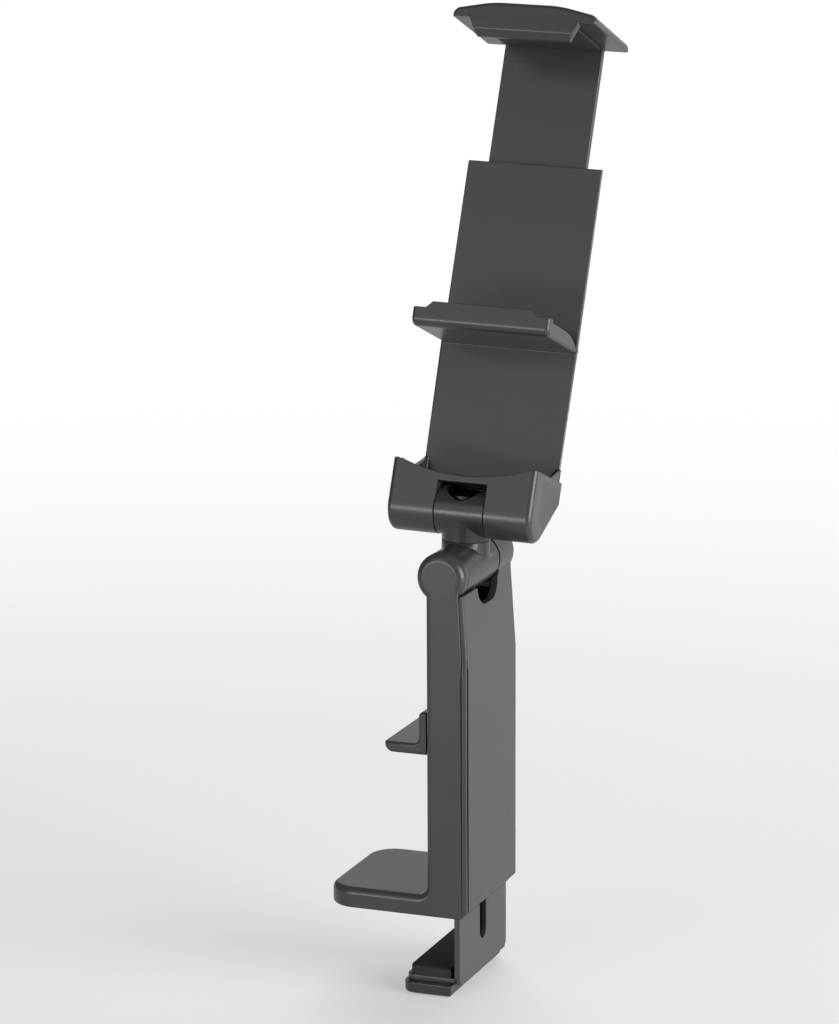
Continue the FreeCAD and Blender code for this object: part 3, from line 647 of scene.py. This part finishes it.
# %% Outer cover: shell
cover_back = 4.72
cover_lean = 1.13
rim_fall = 0.9
wall_inside = 16.1
wall_top = 90
wall_gap = 0.05
groove_depth = 0.7
groove_side = -16.2
groove_width = 0.7
cover = block("base_cover_shell", (cover_back, -half, underside), (outer_face, half, upright_top))
round_edges(cover, foot_slant, 1,
            lambda m, run: along_y(run) and m.z < underside + 0.1 and m.x > outer_face - 0.2)
for z in (step_z - 5, step_z):
    slice_at(cover, (0, 0, z), (0, 0, 1))
move_corners(cover, lambda c: c.z > step_z + 1, (-cover_lean, 0, 0))
pinch(cover, lambda c: c.z > step_z - 1 and c.x > 5.0, 1, rim_fall)
round_edges(cover, 0.5, 4, lambda m, run: abs(run.z) > 0.6 and m.x > 5.15 and abs(m.y) > half - 1.0)
for low_y, high_y in ((-past, -wall_inside), (wall_inside, past)):
    wall = block("wall", (0, low_y, -1), (wall_edge + wall_gap, high_y, wall_top))
    slice_at(wall, (0, 0, step_z), (0, 0, 1))
    fall_at_top = -wall_fall * (wall_top - step_z) / (cover_top - step_z)
    move_corners(wall, lambda c: c.x > 1 and c.z > step_z + 1, (fall_at_top, 0, 0))
    carve(cover, wall)
carve(cover, block("groove", (outer_face - groove_depth, groove_side, -1),
                   (past, groove_side + groove_width, step_z - 3)))
print("cover shell:", len(cover.data.polygons), "faces")

# %% [markdown]
# The cover's top is hollowed for the knuckle and notched for the neck, and the far ear grows out of it on
# a short root. The hollow and the ear are drums on the hinge axis, like the near ear, so all of them line
# up.

# %% Outer cover: far ear
root_out = 4.9
root_end = 16.2
pin_room = 1.77
top_trim = block("top_trim", (-past, -40, cover_top - 0.12), (past, far_side, 100))
ear_room = drum("ear_room", (0, -40, hinge_z), (0, far_side, hinge_z), ear_radius + 0.12, 128)
carve(cover, top_trim, ear_room, notch_tool())
far_ear = drum("far_ear", (0, far_side, hinge_z), (0, half, hinge_z), ear_radius, 128)
round_edges(far_ear, 0.5, 3, lambda m, run: near(m.y, half))
root = block("root", (root_in, far_side, root_low), (root_out, root_end, hinge_z - 1.1))
weld(cover, root, far_ear)
carve(cover, drum("pin_bore", (0, far_side - 1, hinge_z), (0, half + 1, hinge_z), pin_room, 48))
break_edges(cover, 0.15)
hand_over(cover, charcoal, "base", "charcoal_plastic", "base_cover")

# %% [markdown]
# ## Clamp slide
# The slide is a thin plate that runs in the upright and turns inward at its lower end, below the foot. A
# slot guides it on the stop pin. Plate and turned end are two blocks welded together, because each has
# corners of its own radius.

# %% Clamp slide
slide_in = 2.95
slide_out = 4.35
slide_low = -16.5
slide_top = 48.4
slide_half = 16.1
flange_half = 15.2
flange_tip = slide_out - 14.0
flange_top = slide_low + 1.4
slot_half = 2.1
slot_low = -9.3
slot_high = 21.5
slide = block("clamp_slide_plate", (slide_in, -slide_half, slide_low), (slide_out, slide_half, slide_top))
round_edges(slide, 3.0, 8, lambda m, run: along_x(run) and m.z > slide_top - 0.4)
round_edges(slide, 2.2, 8, lambda m, run: along_x(run) and m.z < slide_low + 0.1)
flange = block("flange", (flange_tip, -flange_half, slide_low), (slide_out, flange_half, flange_top))
round_edges(flange, 2.2, 6, lambda m, run: along_z(run) and m.x < flange_tip + 0.65)
weld(slide, flange)
slot_tool = block("slot", (-past, -slot_half, slot_low), (past, slot_half, slot_high))
round_edges(slot_tool, slot_half - 0.01, 10, lambda m, run: along_x(run))
carve(slide, slot_tool)
break_edges(slide, 0.25)
hand_over(slide, clamp_grey, "clamp", "clamp_plastic", "clamp_slide")

# %% [markdown]
# ## Clamp jaw and pad
# The jaw is a thicker block screwed under the turned end, a little back from the face of the plate, and a
# rubber pad lies on top of that end. Both are blocks whose plan corners are rounded first and whose rims
# follow.

# %% Clamp jaw and pad
jaw_tip = -10.05
jaw_end = 2.45
jaw_low = -19.2
clamp_half = 17.0
jaw_screw_x = -2.0
pad_tip = -8.65
pad_end = 1.95
pad_half = 15.3
pad_low = flange_top + 0.02
pad_top = -12.7
jaw = block("clamp_jaw_block", (jaw_tip, -clamp_half, jaw_low), (jaw_end, clamp_half, slide_low - 0.02))
round_edges(jaw, 3.0, 8, lambda m, run: along_z(run) and m.x < jaw_tip + 0.05)
round_edges(jaw, 0.7, 4, lambda m, run: near(m.z, jaw_low))
for y in (-screw_y, screw_y):
    head_end = (jaw_screw_x, y, jaw_low + 1.1)
    carve(jaw, drum("screw_room", (jaw_screw_x, y, -40), head_end, screw_head, 48))
break_edges(jaw, 0.2)
hand_over(jaw, black_plastic_and_painted_shade, "clamp", "clamp_plastic", "clamp_jaw")
pad = block("clamp_pad_rubber", (pad_tip, -pad_half, pad_low), (pad_end, pad_half, pad_top))
round_edges(pad, 2.0, 6, lambda m, run: along_z(run) and m.x < pad_tip + 0.65)
round_edges(pad, 0.6, 4, lambda m, run: near(m.z, pad_top))
break_edges(pad, 0.12)
hand_over(pad, soft_black, "clamp", "soft_rubber", "clamp_pad")

# %% [markdown]
# ## Thumb tab
# The tab is an L in section: a leg along the upright and a shelf for the thumb. A fillet fills the inner
# corner and the shelf is rounded under its front. An L could be extruded from its outline, but two welded
# blocks leave clean long edges, which take their radius one by one.

# %% Thumb tab
tab_half = 15.0
tab_front = -14.8
tab_back = -4.3
tab_low = 39.0
tab_top = 41.6
leg_front = -6.3
leg_top = 49.4
stem_half = 4.0
stem_end = slide_in - 0.02
tab = block("thumb_tab_grip", (tab_front, -tab_half, tab_low), (tab_back, tab_half, tab_top))
weld(tab, block("leg", (leg_front, -tab_half, tab_low + 0.5), (tab_back, tab_half, leg_top)))
clean(tab)
round_edges(tab, 1.5, 7, lambda m, run: along_y(run) and near(m.x, leg_front, 0.05)
            and near(m.z, tab_top, 0.05))
round_edges(tab, 2.0, 8, lambda m, run: along_y(run) and m.x < tab_front + 0.1 and m.z < tab_low + 0.1)
round_edges(tab, 1.3, 6, lambda m, run: along_y(run) and near(m.x, leg_front, 0.05) and m.z > leg_top - 0.1)
round_edges(tab, 0.7, 5, lambda m, run: abs(m.y) > tab_half - 0.05 and m.x < tab_back - 0.1)
weld(tab, block("stem", (tab_back - 0.5, -stem_half, 41.0), (stem_end, stem_half, 47.0)))
break_edges(tab, 0.2)
hand_over(tab, charcoal, "clamp", "clamp_plastic", "thumb_tab")

# %% [markdown]
# ## Links
# Two links make the neck. The lower one is a knuckle on the base hinge with a round stub, the upper one
# the same round with a barrel across its top for the clip. A fine gap between them is the swivel, and the
# head of its screw sits in a round recess in the barrel. Drums with many sides keep these rounds true.

# %% Lower and upper link
neck_radius = 5.7
knuckle_radius = 5.95
barrel_radius = 5.9
stub_end = 6.15
neck_start = 6.18
recess_radius = 4.7
knuckle_near = near_side + 0.41
knuckle_far = far_side - 0.41
barrel_half = 6.08
lower = drum("lower_link_knuckle", (0, knuckle_near, 0), (0, knuckle_far, 0), knuckle_radius, 128)
round_edges(lower, 0.35, 3, lambda m, run: m.y > far_side - 0.5 or m.y < near_side + 0.5)
weld(lower, drum("stub", (0, 0, 0), (0, 0, stub_end), neck_radius, 128))
carve(lower, drum("bore", (0, -past, 0), (0, past, 0), 1.8, 48))
break_edges(lower, 0.14)
lay(lower, neck_place)
# the links' darker plastic is partly painted shade for the shade they sit in
hand_over(lower, black_plastic_and_painted_shade, "link", "link_plastic", "lower_link")
upper = drum("upper_link_barrel", (-barrel_half, 0, link_gap), (barrel_half, 0, link_gap), barrel_radius, 128)
round_edges(upper, 0.15, 3, lambda m, run: near(abs(m.x), barrel_half))
weld(upper, drum("neck", (0, 0, neck_start), (0, 0, link_gap), neck_radius, 128))
carve(upper, drum("recess", (0, 0, link_gap + 2.4), (0, 0, 40), recess_radius, 96))
break_edges(upper, 0.22)
lay(upper, neck_place)
hand_over(upper, black_plastic_and_painted_shade, "neck", "link_plastic", "upper_link")

# %% [markdown]
# ## Clip frame
# The clip is the largest moulding: a cradle with a scooped front round the hinge, a tall flat plate, and
# a lower jaw. The cradle's section is a round nose whose tangents run up to the front and to the back of
# the plate. Those tangents could be worked out, but the convex hull of a drum and a slab gives just that.

# %% Clip frame: nose and slab
wide = 17.9
nose_radius = 6.0
end_rim = 1.3
plate_front = 12.8
slab_back = 13.4
slab_low = 5.4
slab_top = 10.4
cradle = drum("clip_frame_shell", (-wide, 0, 0), (wide, 0, 0), nose_radius, 128)
round_edges(cradle, end_rim, 6, lambda m, run: abs(m.x) > wide - 0.05)
slab = block("slab", (-wide, -nose_radius, slab_low), (wide, slab_back, slab_top))
round_edges(slab, end_rim, 6, lambda m, run: along_z(run) and near(m.y, -nose_radius))
take(cradle)
slab.select_set(True)
bpy.ops.object.join()
bpy.ops.object.mode_set(mode="EDIT")
bpy.ops.mesh.select_all(action="SELECT")
bpy.ops.mesh.convex_hull()
bpy.ops.object.mode_set(mode="OBJECT")
clean(cradle)
print("cradle hull:", len(cradle.data.polygons), "faces")

# %% [markdown]
# Behind the hull a ramp leads up to the plate. A pocket with a sloping floor hollows the cradle, and one
# large drum scoops its front edge: its radius follows from the width and the depth of the scoop.

# %% Clip frame: ramp, pocket and scoop
jaw_half = 17.1
ramp_start = 6.6
ramp_top = 13.4
pocket_half = wide - 1.8
pocket_low = 3.5
pocket_front = -4.2
pocket_rise = 6.5
scoop_half = 16.7
scoop_depth = 3.0
scoop_low = 7.4
bridge_half = 8.0
ramp = block("ramp", (-jaw_half, ramp_start, slab_top - 0.1), (jaw_half, slab_back, ramp_top))
move_corners(ramp, lambda c: c.y < ramp_start + 0.4 and c.z > ramp_top - 0.4,
             (0, plate_front - ramp_start, 0))
weld(cradle, ramp)
pocket = block("pocket", (-pocket_half, pocket_front, pocket_low), (pocket_half, plate_front + 0.4, 60))
slice_at(pocket, (0, ramp_start, 0), (0, 1, 0))
move_corners(pocket, lambda c: c.y > 12 and c.z < pocket_low + 0.5, (0, 0, pocket_rise))
scoop_radius = (scoop_half ** 2 + scoop_depth ** 2) / (2 * scoop_depth)
scoop_z = scoop_low + scoop_radius
scoop = drum("scoop", (0, -40, scoop_z), (0, pocket_front + 0.1, scoop_z), scoop_radius, 360)
carve(cradle, pocket, scoop)
weld(cradle, block("bridge", (-bridge_half, -4.6, 2.0), (bridge_half, 5.6, 7.0)))
print("cradle:", len(cradle.data.polygons), "faces")

# %% [markdown]
# The plate behind it narrows towards its back, so its sides stay out of sight from the front. The lower
# jaw is a flat shelf with a lip and a low tongue. Each gets its own radii before the three are welded.

# %% Clip frame: plate and lower jaw
plate_half = 17.2
plate_back = 17.3
plate_top = 86.0
shelf_low = 41.3
shelf_top = 44.9
lip_front = -9.8
lip_back = -7.1
lip_top = 45.7
tongue_half = 13.8
tongue_top = 47.2
heel_half = 15.2
heel_rise = 5.4


def narrow_back(piece, by):
    pinch(piece, lambda c: c.y > plate_back - 0.1, 0, by)


plate = block("plate", (-plate_half, plate_front, 9.0), (plate_half, plate_back, plate_top))
narrow_back(plate, 2.0)
round_edges(plate, 0.5, 4, lambda m, run: along_z(run) and near(m.y, plate_front))
heel = block("heel", (-heel_half, 13.0, 5.0), (heel_half, plate_back, ramp_top))
move_corners(heel, lambda c: c.y > 17 and c.z < 6, (0, 0, heel_rise))
shelf = block("shelf", (-jaw_half, -7.4, shelf_low), (jaw_half, plate_front + 0.5, shelf_top))
lip = block("lip", (-jaw_half, lip_front, shelf_low), (jaw_half, lip_back, lip_top))
round_edges(lip, 2.0, 8, lambda m, run: along_x(run) and near(m.y, lip_front) and near(m.z, shelf_low))
round_edges(lip, 1.0, 5, lambda m, run: abs(m.x) > jaw_half - 0.05 and m.z < lip_top - 0.1
            and m.y < lip_back - 0.1)
round_edges(shelf, 1.0, 5, lambda m, run: along_y(run) and near(m.z, shelf_low))
tongue = block("tongue", (-tongue_half, lip_front, 45.0), (tongue_half, lip_back, tongue_top))
round_edges(tongue, 1.5, 1, lambda m, run: along_y(run) and m.z > tongue_top - 0.2)
weld(shelf, lip, tongue)
print("lower jaw:", len(shelf.data.polygons), "faces")

# %% [markdown]
# The two ends of the shelf fall off in a long curve where they reach the plate. A bevel of that size
# would eat the lip, so the curve is cut with a block that has a large drum taken out of it.

# %% Clip frame: falling ends of the lower jaw
fall_y = plate_front - 10.0
fall_radius = 19.0
fall_z = shelf_top - fall_radius
end_start = 12.8
end_past = 19.0
for x0, x1 in ((-end_past, -end_start), (end_start, end_past)):
    end_cut = block("end_cut", (x0, fall_y, 41.9), (x1, plate_front + 1, 46.0))
    carve(end_cut, drum("end_round", (x0 - 1, fall_y, fall_z), (x1 + 1, fall_y, fall_z), fall_radius, 360))
    carve(shelf, end_cut)
weld(cradle, plate, heel, shelf)
print("clip frame with plate and jaw:", len(cradle.data.polygons), "faces")

# %% [markdown]
# Last come the hollow parts: the sleeve for the top slide, the step for the back cover, the room of the
# barrel, and a window through which the neck can lean, with a slanted back so that the clip can fold far
# over.

# %% Clip frame: sleeve, window and barrel room
window_half = 6.2
window_back = 4.3
sleeve_back = 16.1
sleeve_front = 14.0
sleeve_half = 12.6
sky_high = 120
barrel_room_radius = 6.15
sleeve = block("sleeve", (-sleeve_half, sleeve_front, slab_top), (sleeve_half, sleeve_back, sky_high))
back_step = block("back_step", (-40, sleeve_back, 13.5), (40, 40, sky_high))
window = block("window", (-window_half, -past, -past), (window_half, window_back, 5.9))
slant = block("slant", (-window_half, 0, -30), (window_half, 40, 0))
slant_corner = Matrix.Translation((0, window_back * mm, window_back * mm))
lay(slant, slant_corner @ Matrix.Rotation(math.radians(-45), 4, "X"))
barrel_room = drum("barrel_room", (-window_half, 0, 0), (window_half, 0, 0), barrel_room_radius, 128)
carve(cradle, sleeve, back_step, window, slant, barrel_room)
break_edges(cradle, 0.22)
lay(cradle, clip_place)
hand_over(cradle, charcoal, "clip", "charcoal_plastic", "clip_frame")

# %% [markdown]
# ## Back cover
# A flat cover closes the sleeve behind the clip. Six small screws hold it, each in a shallow counterbore.
# It is a block narrowed like the plate, so that both make one slope, and a loop sinks the counterbores.

# %% Back cover
back_half = 15.72
back_low = 13.62
back_front = sleeve_back + 0.03
back_screw_x = 13.95
back_screw_sink = 16.7
back = block("clip_back_plate", (-back_half, back_front, back_low), (back_half, plate_back, plate_top))
narrow_back(back, 0.52)
round_edges(back, 0.4, 4, lambda m, run: along_z(run) and m.y > plate_back - 0.1)
for x in (-back_screw_x, back_screw_x):
    for z in (17.5, 47.5, 82.0):
        carve(back, drum("screw_room", (x, back_screw_sink, z), (x, 40, z), 1.05, 40))
break_edges(back, 0.15)
lay(back, clip_place)
hand_over(back, charcoal, "clip", "charcoal_plastic", "clip_back_cover")

# %% [markdown]
# ## Top jaw
# The top jaw is one moulding with the plate that slides in the sleeve. Its upper side is flat in the
# middle and falls towards both ends, its corners are round, and its lip ends in a tongue with a broad
# chamfer along the lower edge. Two cuts across a block give the flat its bends, and the bends are then
# rounded.

# %% Top jaw: hook and tongue
hook_low = 115.6
hook_top = 119.6
hook_back = 16.8
end_drop = 1.9
bend_x = 8.4
tongue_low = 111.4
top_tongue_half = 13.7
tongue_taper = 2.1
top = block("top_jaw_hook", (-wide, lip_front, hook_low), (wide, hook_back, hook_top))
for x in (-bend_x, bend_x):
    slice_at(top, (x, 0, 0), (1, 0, 0))
move_corners(top, lambda c: abs(c.x) > wide - 0.9 and c.z > hook_top - 0.6, (0, 0, -end_drop))
clean(top)
round_edges(top, 2.4, 6, lambda m, run: along_y(run) and near(abs(m.x), bend_x) and m.z > hook_top - 0.6)
round_edges(top, 1.5, 6, lambda m, run: along_y(run) and abs(m.x) > wide - 0.1 and m.z > hook_low + 0.4)
round_edges(top, 0.9, 5, lambda m, run: near(m.y, lip_front) and not (along_x(run) and m.z < hook_low + 0.4))
top_tongue = block("top_tongue", (-top_tongue_half, lip_front, tongue_low),
                   (top_tongue_half, lip_back, hook_low + 0.6))
pinch(top_tongue, lambda c: c.z < tongue_low + 0.6, 0, tongue_taper)
round_edges(top_tongue, 1.6, 1,
            lambda m, run: along_x(run) and m.y < lip_front + 0.1 and m.z < tongue_low + 0.1)
print("hook:", len(top.data.polygons), "faces")

# %% [markdown]
# The tail is the plain plate that runs in the sleeve. Two slots in it make room for the springs.

# %% Top jaw: tail
tail_low = 37.6
tail_half = 12.4
tail_front = sleeve_front + 0.2
tail_back = sleeve_back - 0.2
slot_x = 7.5
slot_room = 1.4
tail = block("tail", (-tail_half, tail_front, tail_low), (tail_half, tail_back, hook_low + 1.0))
round_edges(tail, 2.0, 6, lambda m, run: along_y(run) and m.z < tail_low + 0.1)
weld(top, top_tongue, tail)
for x in (-slot_x, slot_x):
    carve(top, block("spring_slot", (x - slot_room, 0, 35), (x + slot_room, 40, 80)))
break_edges(top, 0.25, 3)
lay(top, clip_place)
hand_over(top, charcoal, "top_jaw", "charcoal_plastic", "top_slide")

# %% [markdown]
# ## Soft pads
# Each seat has a thin rubber pad with rounded corners and a rounded rim. The pads differ only in size, so
# one tool makes all three. The foot pad lies in its seat under the foot.

# %% Pads
def rubber_pad(name, low, high, corner, corner_steps, rim, rim_steps, rim_z, fine):
    made = block(name, low, high)
    round_edges(made, corner, corner_steps, lambda m, run: along_z(run))
    round_edges(made, rim, rim_steps, lambda m, run: near(m.z, rim_z))
    break_edges(made, fine)
    return made


grip_half = 12.3
grip_front = -6.8
low_pad_top = 47.4
top_pad_low = 114.8
low_pad = rubber_pad("lower_jaw_rubber", (-grip_half, grip_front, shelf_top + 0.02),
                     (grip_half, plate_front - 0.6, low_pad_top), 1.2, 5, 0.7, 4, low_pad_top, 0.1)
lay(low_pad, clip_place)
hand_over(low_pad, soft_black, "clip", "soft_rubber", "lower_jaw_pad")
top_pad = rubber_pad("top_jaw_rubber", (-grip_half, grip_front, top_pad_low),
                     (grip_half, plate_front + 0.6, hook_low - 0.02), 1.2, 5, 0.3, 3, top_pad_low, 0.08)
lay(top_pad, clip_place)
hand_over(top_pad, soft_black, "top_jaw", "soft_rubber", "top_jaw_pad")
foot_pad_half = half - 3.42
foot_pad = rubber_pad("foot_rubber", (-26.08, -foot_pad_half, 0), (1.28, foot_pad_half, 1.18),
                      4.0, 8, 0.3, 3, 0, 0.08)
hand_over(foot_pad, soft_black, "base", "soft_rubber", "foot_pad")

# %% [markdown]
# ## Small hardware
# Screws, pins, washers and springs keep the shapes that the frame gives them, because turned and wound
# parts have no soft moulded edges. They only need their finishes.

# %% Finishes for the small hardware
hardware = {
    screw_zinc: ("cover_screws", "jaw_screws", "tab_screws", "back_cover_screws"),
    # the swivel screw's dark steel is painted shade for its shaded recess
    screw_painted_shade: ("swivel_screw",),
    pin_steel: ("stop_pin", "base_hinge_pin", "spring_posts", "slide_pins", "clip_hinge_pins",
                "clip_spring_anchors", "top_spring_pins"),
    spring_wire: ("clamp_springs", "clip_springs"),
    nylon: ("hinge_washers", "swivel_washer", "clip_hinge_washers"),
}
for finish, names in hardware.items():
    for name in names:
        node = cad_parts[name]
        node.data.materials.clear()
        node.data.materials.append(finish)
print("hardware nodes:", sum(len(names) for names in hardware.values()))

# %% [markdown]
# ## Floor
# The holder stands on a pale round floor that keeps its shadow. To the camera the floor is pale and glows
# a little. To bounced light it is darker, so that it doesn't fill the shade. To mirror rays it glows as
# well, because dark plastic shows mostly what it mirrors. Light Path tells these rays apart.

# %% Floor: tone and glow
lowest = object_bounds()[0].z
floor_radius = 1.6
floor_gap = 0.0002
shade_tone = (0.30, 0.30, 0.30, 1)
seen_tone = (0.62, 0.62, 0.62, 1)
seen_glow = 0.36
mirror_glow = 0.46
let_go()
bpy.ops.mesh.primitive_circle_add(vertices=128, radius=floor_radius, fill_type="NGON",
                                  location=(0, 0, lowest - floor_gap))
floor = bpy.context.object
floor.name = "floor"
paper = bpy.data.materials.new("pale_floor")
paper.use_nodes = True
net = paper.node_tree
paper_shader = net.nodes["Principled BSDF"]
paper_shader.inputs["Roughness"].default_value = 0.85
paper_shader.inputs["Emission Color"].default_value = (1, 1, 1, 1)
paper_shader.inputs["Specular IOR Level"].default_value = 0.1
path = net.nodes.new("ShaderNodeLightPath")
tone = net.nodes.new("ShaderNodeMix")
tone.data_type = "RGBA"
tone.inputs["A"].default_value = shade_tone
tone.inputs["B"].default_value = seen_tone
wire(net, path, "Is Camera Ray", tone, "Factor")
wire(net, tone, "Result", paper_shader, "Base Color")
mirrored = sum_node(net, "MULTIPLY", {1: mirror_glow})
wire(net, path, "Is Glossy Ray", mirrored, 0)
glow = sum_node(net, "MULTIPLY_ADD", {1: seen_glow})
wire(net, path, "Is Camera Ray", glow, 0)
wire(net, mirrored, 0, glow, 2)
wire(net, glow, 0, paper_shader, "Emission Strength")
print("floor at", round(floor.location.z * 1000, 2), "mm")

# %% [markdown]
# The floor's edge would draw a horizon. So the floor turns clear with its distance from the holder and
# lets the white studio through. In mirror rays it stays whole.

# %% Floor: fade
fade_from = 0.18
fade_to = 0.75
place = net.nodes.new("ShaderNodeTexCoord")
reach = net.nodes.new("ShaderNodeVectorMath")
reach.operation = "LENGTH"
wire(net, place, "Object", reach, 0)
fade = net.nodes.new("ShaderNodeMapRange")
fade.interpolation_type = "SMOOTHSTEP"
fade.inputs["From Min"].default_value = fade_from
fade.inputs["From Max"].default_value = fade_to
wire(net, reach, "Value", fade, "Value")
direct = sum_node(net, "SUBTRACT", {0: 1.0})
wire(net, path, "Is Glossy Ray", direct, 1)
share = sum_node(net, "MULTIPLY", {})
wire(net, fade, "Result", share, 0)
wire(net, direct, 0, share, 1)
clear = net.nodes.new("ShaderNodeBsdfTransparent")
blend = net.nodes.new("ShaderNodeMixShader")
wire(net, share, 0, blend, "Fac")
wire(net, paper_shader, "BSDF", blend, 1)
wire(net, clear, "BSDF", blend, 2)
wire(net, blend, "Shader", net.nodes["Material Output"], "Surface")
floor.data.materials.append(paper)
print("floor fades from", fade_from, "to", fade_to, "m")

# %% [markdown]
# ## Light
# A large soft lamp on the outer side lights the outer faces. A second one, high at the back, lights what
# looks up and is kept out of the mirror rays. A wide screen at the back is mirrored in the top of the
# foot. A weak lamp at the front left draws soft lines on the rounded forms, and a low, flat one beside it
# draws the band along the round nose of the cradle. The camera side stays in gentle shade.

# %% Lamps
def soft_lamp(name, place, aim, width, height, power):
    lamp_data = bpy.data.lights.new(name, "AREA")
    lamp_data.shape = "RECTANGLE"
    lamp_data.size = width
    lamp_data.size_y = height
    lamp_data.energy = power
    lamp = bpy.data.objects.new(name, lamp_data)
    scene.collection.objects.link(lamp)
    lamp.location = place
    lamp.rotation_euler = (Vector(aim) - Vector(place)).to_track_quat("-Z", "Y").to_euler()
    lamp.visible_camera = False
    return lamp


middle = (0.0, 0.0, 0.09)
soft_lamp("outer_lamp", (1.3, -0.2, 0.25), middle, 1.1, 1.1, 24.5)
high_lamp = soft_lamp("high_lamp", (-0.35, 1.15, 0.95), middle, 1.2, 0.8, 10.0)
high_lamp.visible_glossy = False
soft_lamp("back_screen", (0.0, 2.0, 0.60), middle, 3.0, 1.6, 8.0)
soft_lamp("front_left_lamp", (-0.57, -1.34, 0.75), middle, 1.0, 0.7, 2.5)
soft_lamp("horizon_lamp", (-0.57, -1.49, 0.06), middle, 0.9, 0.2, 7.0)
print("lamps:", len(bpy.data.lights))

# %% [markdown]
# The world is white to the camera, which makes the pale background, and weak to every other ray, so that
# the lamps shape the holder.

# %% World
world_level = 0.15
white_level = 1.0
world = bpy.data.worlds.new("studio")
scene.world = world
world.use_nodes = True
air = world.node_tree.nodes["Background"]
air.inputs["Color"].default_value = (1, 1, 1, 1)
seen = world.node_tree.nodes.new("ShaderNodeLightPath")
level = sum_node(world.node_tree, "MULTIPLY_ADD", {1: white_level - world_level, 2: world_level})
wire(world.node_tree, seen, "Is Camera Ray", level, 0)
wire(world.node_tree, level, 0, air, "Strength")
scene.view_settings.view_transform = "Standard"
print("world strength", world_level, "and", white_level, "to the camera")
